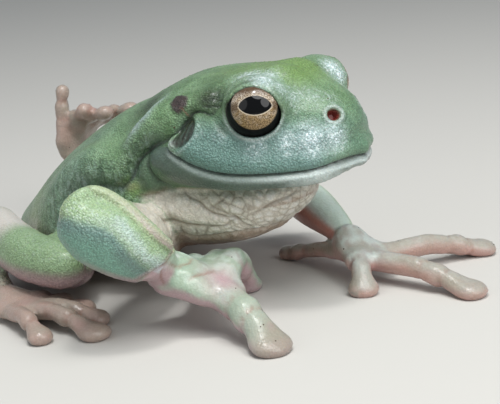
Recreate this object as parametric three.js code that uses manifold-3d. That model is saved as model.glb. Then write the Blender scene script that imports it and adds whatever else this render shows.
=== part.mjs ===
// A White's tree frog (Litoria caerulea) sitting at rest, life size, in millimetres.
// +X runs forward along the frog, +Y to its left and +Z up. It sits on the floor Z = 0,
// and the origin is the middle of the space it takes on that floor.
import * as THREE from "three";
import { mergeVertices } from "three/addons/utils/BufferGeometryUtils.js";
import Module from "manifold-3d";

const wasm = await Module();
wasm.setup();

// ---------------------------------------------------------------- driving sizes
const GAP = 0.3; // clearance between neighbouring pieces
const BODY_SIDES = 20; // points round a section of the head, trunk or throat
const LIMB_SIDES = 8;
const DIGIT_SIDES = 6;
const WEB_THICK = 0.9;
const DISC_THICK = 1.2; // half the thickness of a toe disc
const ROUND_END = { shrink: 0.68, out: 0.74, pole: 1 }; // what rounds off a limb's end: a ring, then a pole

// Sections of the whole head from the nape to the snout: place along X, half width,
// crown height, height of the widest line, underside height.
const HEAD_ROWS = [
  [-30, 13.0, 35.8, 27.0, 20.4],
  [-26, 16.2, 38.8, 27.0, 19.4],
  [-20, 17.6, 41.4, 27.0, 19.2],
  [-13, 17.6, 43.0, 27.0, 20.2],
  [-6, 16.6, 43.2, 27.0, 21.2],
  [0, 14.6, 42.2, 27.2, 22.0],
  [4.4, 12.0, 40.4, 27.6, 22.8],
  [7.6, 9.4, 38.6, 28.0, 23.6],
  [10.0, 6.6, 36.6, 28.4, 24.4],
  [11.4, 3.8, 34.4, 29.0, 25.6],
  [11.9, 1.2, 31.6, 29.4, 27.4],
];
const HEAD_POWERS = { side: 2.05, upper: 2.05, lower: 2.2 };

// The mouth line seen from the side: place along X and height. It rises to the corner.
const MOUTH_LINE = [
  [16, 27.2],
  [11, 27.2],
  [5, 26.4],
  [-6, 26.2],
  [-13, 27.4],
  [-19, 30.2],
  [-23, 33.2],
];

// Each eye ball: where its middle is, its radius, and how far it looks forward and up.
const EYE = { x: -2.4, y: 11.3, z: 36.9, radius: 5.0, forward: 25, raised: 4 };
const LID_OPENING = 4.3; // radius of the opening between the lids
const ORBIT = { radius: 5.6, long: 6.3, sunk: 1.0, lift: 0.5 }; // the dome of lids and brow

const NOSTRIL = { x: 9.2, y: 5.0, z: 35.2, halves: [0.9, 0.8, 0.7] };

// Sections of the trunk from the rump to the nape, in the same columns as the head's.
const TRUNK_ROWS = [
  [-72, 2.0, 8.0, 5.6, 3.6],
  [-70, 5.2, 10.4, 5.6, 0.6],
  [-65, 8.6, 14.4, 7.0, -0.8],
  [-58, 12.6, 19.4, 9.0, -0.9],
  [-50, 17.4, 25.4, 11.5, -0.5],
  [-42, 19.8, 30.8, 14.0, 1.6],
  [-34, 19.2, 35.4, 17.0, 4.4],
  [-26, 17.0, 38.6, 20.0, 7.0],
  [-20, 14.0, 40.0, 22.0, 9.0],
];
const TRUNK_POWERS = { side: 2.1, upper: 2.0, lower: 2.3 };

// Sections of the throat from the chest to the chin.
const THROAT_ROWS = [
  [-27, 15.4, 25.0, 18.0, 7.8],
  [-22, 16.4, 26.0, 17.6, 8.0],
  [-16, 16.2, 26.0, 17.6, 8.6],
  [-10, 14.6, 26.0, 18.0, 10.0],
  [-5, 12.0, 25.6, 19.0, 12.4],
  [-1.6, 8.8, 25.0, 20.4, 15.6],
  [0.6, 4.6, 24.4, 21.6, 18.6],
];
const THROAT_POWERS = { side: 2.1, upper: 2.2, lower: 2.1 };

// Rows of each limb piece from the body outwards: place, half width, half height.
const LIMBS = {
  forearm_right: [
    [-18.6, -38.0, 21.6, 6.2, 6.2],
    [-16.0, -34.8, 18.6, 6.5, 6.3],
    [-13.8, -31.6, 15.8, 6.0, 5.6],
    [-12.8, -29.2, 13.8, 4.6, 4.4],
  ],
  forearm_left: [
    [-16.6, 25.0, 9.8, 4.6, 4.6],
    [-11.4, 21.5, 9.2, 4.5, 4.6],
    [-5.6, 17.3, 8.4, 3.8, 3.7],
    [-1.0, 13.9, 7.6, 3.0, 2.7],
  ],
  upper_arm_right: [
    [-25.0, -10.0, 12.0, 5.2, 5.6],
    [-23.2, -19.0, 14.2, 5.4, 5.8],
    [-21.2, -28.0, 18.0, 5.4, 5.8],
    [-19.6, -34.6, 21.0, 5.0, 5.2],
  ],
  upper_arm_left: [
    [-25.0, 9.0, 18.0, 6.0, 7.0],
    [-22.0, 17.0, 15.0, 5.4, 5.8],
    [-19.0, 23.0, 12.0, 4.6, 4.8],
  ],
  shank_right: [
    [-35.5, -27.4, 9.4, 4.4, 4.8],
    [-45.0, -25.8, 9.4, 5.0, 5.2],
    [-55.0, -21.0, 10.0, 4.8, 5.0],
    [-62.6, -15.6, 10.8, 4.2, 4.8],
  ],
  shank_left: [
    [-35.5, 27.4, 7.4, 4.4, 4.8],
    [-44.0, 28.0, 6.8, 5.0, 5.2],
    [-52.0, 26.6, 6.2, 4.6, 4.8],
    [-59.0, 24.6, 5.8, 3.6, 4.2],
  ],
  thigh_right: [
    [-62.0, -4.0, 7.2, 6.4, 7.0],
    [-54.0, -11.0, 7.2, 6.6, 7.0],
    [-45.0, -18.0, 7.6, 6.2, 6.6],
    [-37.5, -23.0, 8.4, 5.0, 5.4],
  ],
  thigh_left: [
    [-62.0, 4.0, 7.2, 6.4, 7.0],
    [-54.0, 11.0, 7.2, 6.6, 6.8],
    [-45.0, 18.5, 7.2, 6.0, 6.2],
    [-38.0, 24.0, 7.6, 4.8, 5.0],
  ],
  tarsus_right: [
    [-63.4, -18.4, 7.0, 3.2, 3.4],
    [-57.6, -24.4, 4.2, 2.9, 2.7],
    [-51.0, -28.6, 2.6, 3.0, 2.2],
  ],
  tarsus_left: [
    [-60.5, 25.4, 5.4, 3.2, 3.4],
    [-67.0, 23.6, 9.0, 2.8, 2.9],
    [-72.6, 21.6, 13.4, 3.0, 2.4],
  ],
};

// Each hand and foot: rows of its palm from the wrist or heel, the way its back faces, and for
// each digit its root, its tip, how far it arches, its half thickness and its disc's half width.
const PALMS = {
  hand_right: {
    digit: "finger_right",
    back: [0, 0, 1],
    web: 0.42,
    rows: [
      [-13.0, -26.2, 10.8, 4.2, 3.8],
      [-10.2, -24.2, 9.4, 5.4, 3.1],
      [-6.6, -22.6, 7.4, 5.2, 2.4],
    ],
    digits: [
      { root: [-12.6, -20.4, 8.8], tip: [-18.6, -8.6, 1.1], arch: 3.4, thick: 1.5, disc: 2.0 },
      { root: [-9.8, -19.0, 8.8], tip: [-15.6, -3.6, 1.1], arch: 3.6, thick: 1.6, disc: 2.4 },
      { root: [-6.4, -18.8, 8.4], tip: [-11.8, -3.4, 1.1], arch: 4.0, thick: 2.1, disc: 2.9 },
      { root: [-4.2, -22.6, 6.6], tip: [8.8, -27.6, 1.1], arch: 1.0, thick: 2.45, disc: 3.9 },
    ],
  },
  hand_left: {
    digit: "finger_left",
    back: [0, 0, 1],
    web: 0.3,
    rows: [
      [0.8, 12.6, 7.2, 2.7, 2.4],
      [3.2, 11.0, 6.0, 3.8, 2.0],
      [6.0, 10.4, 4.8, 4.8, 1.7],
    ],
    digits: [
      { root: [2.0, 10.4, 5.2], tip: [-14.6, 14.8, 1.1], arch: 0.4, thick: 1.2, disc: 1.5 },
      { root: [5.8, 7.6, 4.6], tip: [9.8, 2.0, 1.1], arch: 1.2, thick: 1.6, disc: 3.0 },
      { root: [8.6, 9.6, 4.2], tip: [28.4, 8.9, 1.1], arch: 1.2, thick: 1.7, disc: 3.0 },
      { root: [8.0, 13.0, 4.2], tip: [20.6, 32.4, 1.1], arch: 1.5, thick: 1.7, disc: 3.1 },
    ],
  },
  foot_right: {
    digit: "toe_right",
    back: [0, 0, 1],
    web: 0.7,
    rows: [
      [-49.4, -29.6, 2.4, 3.0, 2.0],
      [-45.6, -31.4, 2.2, 4.4, 1.8],
      [-42.8, -32.4, 2.0, 5.2, 1.6],
    ],
    digits: [
      { root: [-45.0, -29.0, 2.2], tip: [-38.6, -24.6, 1.1], arch: 0.4, thick: 1.2, disc: 1.8 },
      { root: [-42.4, -29.8, 2.2], tip: [-32.4, -25.8, 1.1], arch: 0.5, thick: 1.3, disc: 2.1 },
      { root: [-41.0, -31.4, 2.2], tip: [-26.6, -29.2, 1.1], arch: 1.2, thick: 1.4, disc: 2.4 },
      { root: [-40.6, -33.4, 2.2], tip: [-22.8, -35.0, 1.1], arch: 1.6, thick: 1.5, disc: 2.7 },
      { root: [-41.8, -35.6, 2.2], tip: [-30.6, -40.4, 1.1], arch: 1.4, thick: 1.4, disc: 2.4 },
    ],
  },
  foot_left: {
    digit: "toe_left",
    back: [-0.8, 0.1, 0.6],
    web: 0.5,
    rows: [
      [-72.6, 21.8, 13.6, 2.8, 2.2],
      [-74.0, 21.2, 16.6, 3.9, 1.9],
      [-74.4, 21.0, 19.4, 4.3, 1.7],
    ],
    digits: [
      { root: [-74.4, 18.4, 19.0], tip: [-74.4, 20.0, 30.4], arch: 0.4, thick: 1.35, disc: 1.7 },
      { root: [-73.8, 21.4, 20.4], tip: [-67.4, 19.0, 26.4], arch: 1.6, thick: 1.3, disc: 1.8 },
      { root: [-73.4, 22.8, 20.4], tip: [-62.8, 20.6, 25.8], arch: 2.0, thick: 1.4, disc: 2.0 },
      { root: [-73.6, 24.4, 20.2], tip: [-60.0, 26.0, 25.6], arch: 2.2, thick: 1.5, disc: 2.2 },
      { root: [-74.0, 26.0, 19.4], tip: [-65.0, 30.0, 23.6], arch: 1.8, thick: 1.4, disc: 2.0 },
    ],
  },
};

// ---------------------------------------------------------------- finishes
const finish = (color, roughness) => new THREE.MeshStandardMaterial({ color, roughness, metalness: 0 });
const FINISHES = {
  back_skin: finish(0x6b9466, 0.45),
  throat_skin: finish(0xcfc4a4, 0.6),
  limb_skin: finish(0x96b886, 0.45),
  hand_skin: finish(0xb9b196, 0.5),
  eye: finish(0xb8a07c, 0.1),
};

// ---------------------------------------------------------------- solids
// The value of column c a share t of the way between rows i and i + 1, on a smooth curve.
function smooth(rows, i, c, t) {
  const at = (k) => rows[Math.min(Math.max(k, 0), rows.length - 1)][c];
  const from = at(i);
  const to = at(i + 1);
  const startSlope = (to - at(i - 1)) / 2;
  const endSlope = (at(i + 2) - from) / 2;
  const square = 3 * (to - from) - 2 * startSlope - endSlope;
  const cube = 2 * (from - to) + startSlope + endSlope;
  return from + t * (startSlope + t * (square + t * cube));
}

// The rows, with steps - 1 smooth rows filled in between each two.
function fillRows(rows, steps) {
  const filled = [];
  for (let i = 0; i < rows.length - 1; i += 1) {
    for (let k = 0; k < steps; k += 1) {
      filled.push(rows[i].map((_, c) => smooth(rows, i, c, k / steps)));
    }
  }
  filled.push(rows[rows.length - 1]);
  return filled;
}

// A closed geometry through rings of equally many points, with a fan of triangles at each end
// to a pole, which is the middle of the end ring where none is given.
function ringGeometry(rings, poles = []) {
  const sides = rings[0].length;
  const points = rings.flat();
  const index = [];
  for (let r = 0; r < rings.length - 1; r += 1) {
    for (let s = 0; s < sides; s += 1) {
      const a = r * sides + s;
      const b = r * sides + ((s + 1) % sides);
      index.push(a, b, a + sides, b, b + sides, a + sides);
    }
  }
  const middle = (ring) => ring.reduce((sum, p) => sum.add(p), new THREE.Vector3()).divideScalar(sides);
  const first = points.push(poles[0] ?? middle(rings[0])) - 1;
  const last = points.push(poles[1] ?? middle(rings[rings.length - 1])) - 1;
  const top = (rings.length - 1) * sides;
  for (let s = 0; s < sides; s += 1) {
    const next = (s + 1) % sides;
    index.push(first, next, s, last, top + s, top + next);
  }
  return new THREE.BufferGeometry().setFromPoints(points).setIndex(index);
}

// A closed geometry as a solid to join and cut, facing out whichever way its rings ran.
function solidOf(geometry) {
  const bare = geometry.clone();
  bare.deleteAttribute("normal");
  bare.deleteAttribute("uv");
  const merged = mergeVertices(bare, 1e-4);
  const triVerts = new Uint32Array(merged.index.array);
  const vertProperties = new Float32Array(merged.attributes.position.array);
  const made = new wasm.Manifold(new wasm.Mesh({ numProp: 3, vertProperties, triVerts }));
  if (made.volume() > 0) return made;
  for (let i = 0; i < triVerts.length; i += 3) {
    [triVerts[i + 1], triVerts[i + 2]] = [triVerts[i + 2], triVerts[i + 1]];
  }
  return new wasm.Manifold(new wasm.Mesh({ numProp: 3, vertProperties, triVerts }));
}

// A solid's surface as a geometry of its own.
function geometryOf(solid) {
  const mesh = solid.getMesh();
  const positions = new Float32Array(mesh.numVert * 3);
  for (let v = 0; v < mesh.numVert; v += 1) {
    const start = v * mesh.numProp;
    positions.set(mesh.vertProperties.subarray(start, start + 3), 3 * v);
  }
  const geometry = new THREE.BufferGeometry();
  geometry.setAttribute("position", new THREE.BufferAttribute(positions, 3));
  geometry.setIndex(new THREE.BufferAttribute(new Uint32Array(mesh.triVerts), 1));
  return geometry;
}

const join = (solids) => solids.reduce((all, solid) => all.add(solid));

// Only the largest body of a solid: the slivers that a cut leaves behind are dropped.
const largest = (solid) => solid.decompose().sort((a, b) => b.volume() - a.volume())[0];

// A coordinate of a superellipse: 2 is a round outline, and more is squarer.
const bulge = (v, bluntness) => Math.sign(v) * Math.abs(v) ** (2 / bluntness);

// A body lofted along X from section rows, each a rounded outline about its widest line.
function body(rows, powers, grow, steps = 2) {
  const filled = fillRows(rows, steps);
  const rings = filled.map(([x, half, top, wide, low], i) => {
    const outward = i === 0 ? -1 : Number(i === filled.length - 1);
    return Array.from({ length: BODY_SIDES }, (_, s) => {
      const a = (2 * Math.PI * s) / BODY_SIDES;
      const up = Math.sin(a) > 0;
      const tall = (up ? top - wide : wide - low) + grow;
      return new THREE.Vector3(
        x + outward * grow,
        (half + grow) * bulge(Math.cos(a), powers.side),
        wide + tall * bulge(Math.sin(a), up ? powers.upper : powers.lower),
      );
    });
  });
  return solidOf(ringGeometry(rings));
}

// A limb through rows of place, half width and half height, with rounded ends.
// Its half height lies towards `back`, as far as the limb's own direction allows.
function limb(rows, { sides = LIMB_SIDES, steps = 2, back = [0, 0, 1], grow = 0 } = {}) {
  const filled = fillRows(rows, steps);
  const at = (i) => new THREE.Vector3(...filled[Math.min(Math.max(i, 0), filled.length - 1)]);
  const rings = [];
  const poles = [];
  filled.forEach(([, , , wide, high], i) => {
    const along = at(i + 1).sub(at(i - 1)).normalize();
    const across = new THREE.Vector3(...back).cross(along).normalize();
    const over = along.clone().cross(across);
    const reach = Math.min(wide, high) + grow;
    const ring = (shrink, shift) => {
      const middle = at(i).addScaledVector(along, shift * reach);
      return Array.from({ length: sides }, (_, s) => {
        const a = (2 * Math.PI * s) / sides;
        const point = middle.clone().addScaledVector(across, (wide + grow) * shrink * Math.cos(a));
        return point.addScaledVector(over, (high + grow) * shrink * Math.sin(a));
      });
    };
    const pole = (side) => at(i).addScaledVector(along, side * ROUND_END.pole * reach);
    if (i === 0) {
      rings.push(ring(ROUND_END.shrink, -ROUND_END.out));
      poles.push(pole(-1));
    }
    rings.push(ring(1, 0));
    if (i === filled.length - 1) {
      rings.push(ring(ROUND_END.shrink, ROUND_END.out));
      poles.push(pole(1));
    }
  });
  return solidOf(ringGeometry(rings, poles));
}

// An ellipsoid about a point, with its own three half sizes.
function ellipsoid(centre, halves, rows) {
  const ball = new THREE.SphereGeometry(1, 2 * rows, rows);
  ball.scale(...halves).translate(...centre.toArray());
  return solidOf(ball);
}

// A block between two heights under (or over) everything, drawn from an outline in X and Z.
function block(outline) {
  const shape = new THREE.Shape(outline.map(([x, z]) => new THREE.Vector2(x, z)));
  const slab = new THREE.ExtrudeGeometry(shape, { depth: 200, bevelEnabled: false });
  slab.rotateX(Math.PI / 2).translate(0, 100, 0);
  return solidOf(slab);
}

// ---------------------------------------------------------------- head
const radians = THREE.MathUtils.degToRad;

// The way an eye looks, on the left (side 1) or the right (side -1).
function eyeLook(side) {
  const level = Math.cos(radians(EYE.raised));
  const forward = radians(EYE.forward);
  return new THREE.Vector3(
    level * Math.sin(forward),
    side * level * Math.cos(forward),
    Math.sin(radians(EYE.raised)),
  );
}

const eyeCentre = (side) => new THREE.Vector3(EYE.x, side * EYE.y, EYE.z);

function eyeBall(side, grow) {
  const radius = EYE.radius + grow;
  return ellipsoid(eyeCentre(side), [radius, radius, radius], 6);
}

// The dome of lids and brow over an eye, longest along the head.
function orbit(side, grow) {
  const centre = eyeCentre(side).addScaledVector(eyeLook(side), -ORBIT.sunk);
  centre.z += ORBIT.lift;
  const radius = ORBIT.radius + grow;
  return ellipsoid(centre, [ORBIT.long + grow, radius, radius], 7);
}

// The round opening between the lids, as the rod that cuts it.
function lidOpening(side) {
  const rod = new THREE.CylinderGeometry(LID_OPENING, LID_OPENING, 8, 14);
  const aim = new THREE.Quaternion().setFromUnitVectors(new THREE.Vector3(0, 1, 0), eyeLook(side));
  const centre = eyeCentre(side).addScaledVector(eyeLook(side), 5);
  rod.applyQuaternion(aim).translate(...centre.toArray());
  return solidOf(rod);
}

function nostril(side) {
  return ellipsoid(new THREE.Vector3(NOSTRIL.x, side * NOSTRIL.y, NOSTRIL.z), NOSTRIL.halves, 3);
}

// All that lies above (1) or below (-1) the mouth line.
function besideMouth(side) {
  const line = fillRows(MOUTH_LINE, 3).map(([x, z]) => [x, z + (side * GAP) / 2]);
  const [[front], [back, corner]] = [line[0], line[line.length - 1]];
  const far = side > 0 ? 80 : -20;
  return block([...line, [back - 40, corner], [back - 40, far], [front, far]]);
}

const wholeHead = (grow) => join([body(HEAD_ROWS, HEAD_POWERS, grow), orbit(1, grow), orbit(-1, grow)]);

function upperHead() {
  const openings = join([lidOpening(1), lidOpening(-1), nostril(1), nostril(-1)]);
  return wholeHead(0).intersect(besideMouth(1)).subtract(openings);
}

const lowerJaw = () => wholeHead(0).intersect(besideMouth(-1));

// ---------------------------------------------------------------- digits and webs
// A digit's rows from its root to its tip: it arches, then ends in a flat round disc.
function digitRows({ root, tip, arch, thick, disc }, back) {
  const from = new THREE.Vector3(...root);
  const to = new THREE.Vector3(...tip);
  const lift = new THREE.Vector3(...back).normalize();
  const at = (share, rise) => from.clone().lerp(to, share).addScaledVector(lift, rise).toArray();
  return [
    [...at(0, 0), thick * 1.1, thick],
    [...at(0.44, arch), thick, thick],
    [...at(0.74, arch * 0.6), thick * 0.95, thick * 0.85],
    [...at(0.88, arch * 0.1), disc * 0.84, DISC_THICK],
    [...at(1, 0), disc * 0.92, DISC_THICK],
  ];
}

// The thin skin between two digits, out to a share of their length and drawn in at its middle.
function web(rowsA, rowsB, reach, back) {
  const along = (rows, share) => {
    const place = share * (rows.length - 1);
    const i = Math.min(Math.floor(place), rows.length - 2);
    return new THREE.Vector3(...[0, 1, 2].map((c) => smooth(rows, i, c, place - i)));
  };
  const half = new THREE.Vector3(...back).normalize().multiplyScalar(WEB_THICK / 2);
  const rings = [0, 0.5, 1].map((step) => {
    const share = reach * step;
    const inner = share * 0.7;
    const middle = along(rowsA, inner).lerp(along(rowsB, inner), 0.5);
    const edge = [along(rowsA, share), middle, along(rowsB, share)];
    const over = edge.map((p) => p.clone().add(half));
    const under = edge.map((p) => p.clone().sub(half)).reverse();
    return [...over, ...under];
  });
  return solidOf(ringGeometry(rings));
}

// ---------------------------------------------------------------- the frog, piece by piece
// A piece's make(grow) gives its solid, grown by that much where a later piece is cut to fit it.
// Each piece gives way to those before it in this list.
const pieces = [];

function add(name, skin, make, beside = []) {
  pieces.push({ name, skin, make, beside });
}

function addBody() {
  add("eye_right", "eye", (grow) => eyeBall(-1, grow));
  add("eye_left", "eye", (grow) => eyeBall(1, grow));
  add("head", "back_skin", (grow) => (grow ? wholeHead(grow) : upperHead()));
  add("lower_jaw", "back_skin", (grow) => (grow ? wholeHead(grow) : lowerJaw()), ["head"]);
  add("trunk", "back_skin", (grow) => body(TRUNK_ROWS, TRUNK_POWERS, grow));
  add("throat", "throat_skin", (grow) => body(THROAT_ROWS, THROAT_POWERS, grow, 1));
}

function addLimbs() {
  for (const [name, rows] of Object.entries(LIMBS)) {
    add(name, "limb_skin", (grow) => limb(rows, { grow }));
  }
}

function addPalm(name, { digit, digits, back, web: reach, rows }) {
  const bones = digits.map((one) => digitRows(one, back));
  bones.forEach((bone, i) => {
    const make = (grow) => limb(bone, { sides: DIGIT_SIDES, steps: 1, back, grow });
    add(`${digit}_${i + 1}`, "hand_skin", make);
  });
  const webs = () => bones.slice(1).map((bone, i) => web(bones[i], bone, reach, back));
  add(name, "hand_skin", (grow) => join([limb(rows, { steps: 1, back, grow }), ...webs()]));
}

const boxesMeet = (a, b) => [0, 1, 2].every((c) => a.min[c] <= b.max[c] && b.min[c] <= a.max[c]);

// Every piece as a solid that stands clear of the pieces before it and ends at the floor.
function fitPieces() {
  const floor = block([
    [-200, -50],
    [200, -50],
    [200, 0],
    [-200, 0],
  ]);
  const cutters = [];
  return pieces.map(({ name, skin, make, beside }) => {
    let solid = make(0).subtract(floor);
    for (const other of cutters) {
      if (beside.includes(other.name)) continue;
      if (boxesMeet(solid.boundingBox(), other.solid.boundingBox())) solid = solid.subtract(other.solid);
    }
    cutters.push({ name, solid: make(GAP) });
    return { name, skin, solid: largest(solid) };
  });
}

function frog() {
  addBody();
  addLimbs();
  for (const [name, palm] of Object.entries(PALMS)) addPalm(name, palm);
  const group = new THREE.Group();
  for (const { name, skin, solid } of fitPieces()) {
    const mesh = new THREE.Mesh(geometryOf(solid), FINISHES[skin]);
    mesh.name = name;
    group.add(mesh);
  }
  const space = new THREE.Box3().setFromObject(group);
  const middle = space.getCenter(new THREE.Vector3());
  group.position.set(-middle.x, -middle.y, -space.min.z);
  return group;
}

export default frog();
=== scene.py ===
"""A White's tree frog (Litoria caerulea) at rest, life size, dressed round its solids.

One skin stands for all the flesh, so that no seam shows, and each eye is a piece of its own.
Places in this script are in millimetres from the frog's home point, which lies on the floor
under its head: +X runs forward along the frog, +Y to its left and +Z up. A finished mesh is in
metres. The lines and spots that are given for one side lie on the right, where Y is below 0.
"""

import math

import bmesh
import bpy
import numpy as np
import openvdb as vdb
from mathutils import Matrix, Vector


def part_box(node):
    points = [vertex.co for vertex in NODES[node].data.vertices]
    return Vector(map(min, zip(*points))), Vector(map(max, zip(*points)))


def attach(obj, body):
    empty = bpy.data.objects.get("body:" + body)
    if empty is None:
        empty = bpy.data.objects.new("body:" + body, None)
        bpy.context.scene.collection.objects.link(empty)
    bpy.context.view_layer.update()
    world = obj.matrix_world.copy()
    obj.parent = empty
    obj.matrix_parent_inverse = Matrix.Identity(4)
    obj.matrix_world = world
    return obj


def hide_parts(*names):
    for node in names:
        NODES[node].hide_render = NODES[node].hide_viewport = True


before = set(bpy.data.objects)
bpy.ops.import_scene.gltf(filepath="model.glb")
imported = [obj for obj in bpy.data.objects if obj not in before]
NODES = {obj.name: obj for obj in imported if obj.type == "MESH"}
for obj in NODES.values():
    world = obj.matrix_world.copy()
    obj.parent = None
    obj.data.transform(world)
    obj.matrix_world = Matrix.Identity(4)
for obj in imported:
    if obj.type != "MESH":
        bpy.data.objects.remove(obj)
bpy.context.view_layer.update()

bl_info = {
    "name": "Tree Frog Model",
    "version": (1, 0, 0),
    "blender": (4, 5, 0),
    "location": "View3D > Sidebar > Tree Frog",
    "description": "Dresses the solids of a tree frog with its skin and eyes",
    "category": "Add Mesh",
}

# ---------------------------------------------------------------- where things are
MM = 1000.0  # mm in a metre


def box_mm(solid):
    """The lowest and highest corner of a solid, in mm."""
    low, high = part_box(solid)
    return np.array(low) * MM, np.array(high) * MM


def middle_mm(solid):
    return sum(box_mm(solid)) / 2


# The home point lies a little ahead of the line between the eyes, on the floor.
EYES_BEHIND_HOME = 3.1
BETWEEN_EYES = (middle_mm("eye_right") + middle_mm("eye_left")) / 2
HOME = np.array([BETWEEN_EYES[0] + EYES_BEHIND_HOME, BETWEEN_EYES[1], 0.0])

EYE_CENTRE = middle_mm("eye_left") - HOME
EYE_RADIUS = float((box_mm("eye_left")[1] - box_mm("eye_left")[0])[0]) / 2

SIDES = ("right", "left")
FINGERS = [f"finger_{side}_{n}" for side in SIDES for n in range(1, 5)]
TOES = [f"toe_{side}_{n}" for side in SIDES for n in range(1, 6)]
PALMS = {f"{part}_{side}": part for side in SIDES for part in ("hand", "foot")}
FLESH = [name for name in NODES if not name.startswith("eye")]

# The mouth line seen from the side, as the solids have it: place along X and height.
MOUTH_LINE = np.array([[13, 27.2], [11, 27.2], [5, 26.4], [-6, 26.2], [-13, 27.4], [-19, 30.2]])


# ---------------------------------------------------------------- small tools for numbers
def unit(vector):
    """The same direction with a length of 1."""
    vector = np.asarray(vector, float)
    return vector / np.linalg.norm(vector)


def ramp(value, start, end):
    """0 before start and 1 after end, with a smooth turn between them."""
    t = np.clip((value - start) / (end - start), 0, 1)
    return t * t * (3 - 2 * t)


def hump(distance, width):
    """1 in the middle of a soft ridge or groove, and almost 0 beyond twice its width."""
    return np.exp(-((distance / width) ** 2))


PER_SPAN = 6  # points of a smooth line for each one given


def fading(along, end=0.03, power=0.4):
    """1 along most of a line and almost 0 at both its ends."""
    return np.sin(np.pi * np.clip(along, end, 1 - end)) ** power


def smooth_line(points):
    """A smooth line of points through the given ones; further columns are carried along."""
    p = np.asarray(points, float)
    padded = np.vstack([2 * p[0] - p[1], p, 2 * p[-1] - p[-2]])
    line = []
    for i in range(len(p) - 1):
        a, b, c, d = padded[i : i + 4]
        for t in np.arange(PER_SPAN) / PER_SPAN:
            curve = a - 2.5 * b + 2 * c - d / 2 + t * (1.5 * (b - c) + (d - a) / 2)
            line.append(b + t * ((c - a) / 2 + t * curve))
    line.append(p[-1])
    return np.array(line)


def to_line(points, line):
    """For each point: its distance to a line of points, how far along it that is from 0 to 1, and
    the way across from the line and the way along it there."""
    best = np.full(len(points), 1e9)
    along = np.zeros(len(points))
    across, way = np.zeros_like(points), np.zeros_like(points)
    spans = len(line) - 1
    for i in range(spans):
        a, ab = line[i], line[i + 1] - line[i]
        t = np.clip((points - a) @ ab / (ab @ ab), 0, 1)
        offset = points - a - t[:, None] * ab
        d = np.linalg.norm(offset, axis=1)
        nearer = d < best
        best[nearer] = d[nearer]
        along[nearer] = (i + t[nearer]) / spans
        across[nearer] = offset[nearer]
        way[nearer] = ab
    return best, along, across, way


def scatter(cell, seed=0):
    """Three even random numbers from 0 to 1 for each lattice cell, the same in every run."""
    c = cell.astype(np.int64)
    h = (c[..., 0] * 73856093) ^ (c[..., 1] * 19349663) ^ (c[..., 2] * 83492791)
    h = h ^ (seed * 2654435761)
    out = []
    for k in range(3):
        h = (h ^ (h >> 13)) * 1274126177 + 374761393 * (k + 1)
        h = h & 0xFFFFFFFF
        out.append(((h ^ (h >> 16)) & 0xFFFF) / 65535.0)
    return np.stack(out, -1)


def drift(points, size, seed=0):
    """Smooth noise from -1 to 1 whose bumps are about as wide as size, in mm."""
    p = points / size
    base = np.floor(p)
    f = p - base
    f = f * f * (3 - 2 * f)
    total = np.zeros(len(points))
    for corner in np.ndindex(2, 2, 2):
        weight = np.prod([f[:, c] if corner[c] else 1 - f[:, c] for c in range(3)], axis=0)
        total += weight * scatter(base + np.array(corner), seed)[:, 0]
    return total * 2 - 1


def cells(points, seed=0):
    """For cells about one unit wide: the distance to the nearest edge, and the cell's number."""
    base = np.floor(points)
    first = np.full(len(points), 1e9)
    second = np.full(len(points), 1e9)
    name = np.zeros(len(points))
    for corner in np.ndindex(3, 3, 3):
        cell = base + np.array(corner) - 1
        spot = scatter(cell, seed)
        d = np.linalg.norm(cell + 0.15 + 0.7 * spot - points, axis=1)
        closer = d < first
        second = np.where(closer, first, np.minimum(second, d))
        name = np.where(closer, spot[:, 1], name)
        first = np.minimum(first, d)
    return second - first, name


# ---------------------------------------------------------------- forms in a block of distances
VOXEL = 0.5  # mm, the spacing of the distances from which the skin is drawn
BAND = 4.0  # mm, how far from a surface its distances are kept
ROOM = 5  # mm, the empty space round the frog in the whole block
LOWEST = np.min([box_mm(name)[0] for name in NODES], axis=0)
HIGHEST = np.max([box_mm(name)[1] for name in NODES], axis=0)
LOW = np.floor((LOWEST - HOME - ROOM) / VOXEL).astype(int)
HIGH = np.ceil((HIGHEST - HOME + ROOM) / VOXEL).astype(int)


def blur(values, width):
    """The block's values, each averaged with those within about that many voxels."""
    if width <= 0:
        return values
    reach = int(math.ceil(2.5 * width))
    weights = np.exp(-0.5 * (np.arange(-reach, reach + 1) / width) ** 2)
    weights /= weights.sum()
    for axis in range(3):
        margins = [(reach, reach) if a == axis else (0, 0) for a in range(3)]
        padded = np.pad(values, margins, mode="edge")
        size = values.shape[axis]
        total = np.zeros_like(values)
        for k, weight in enumerate(weights):
            part = [slice(None)] * 3
            part[axis] = slice(k, k + size)
            total += np.float32(weight) * padded[tuple(part)]
        values = total
    return values


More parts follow.
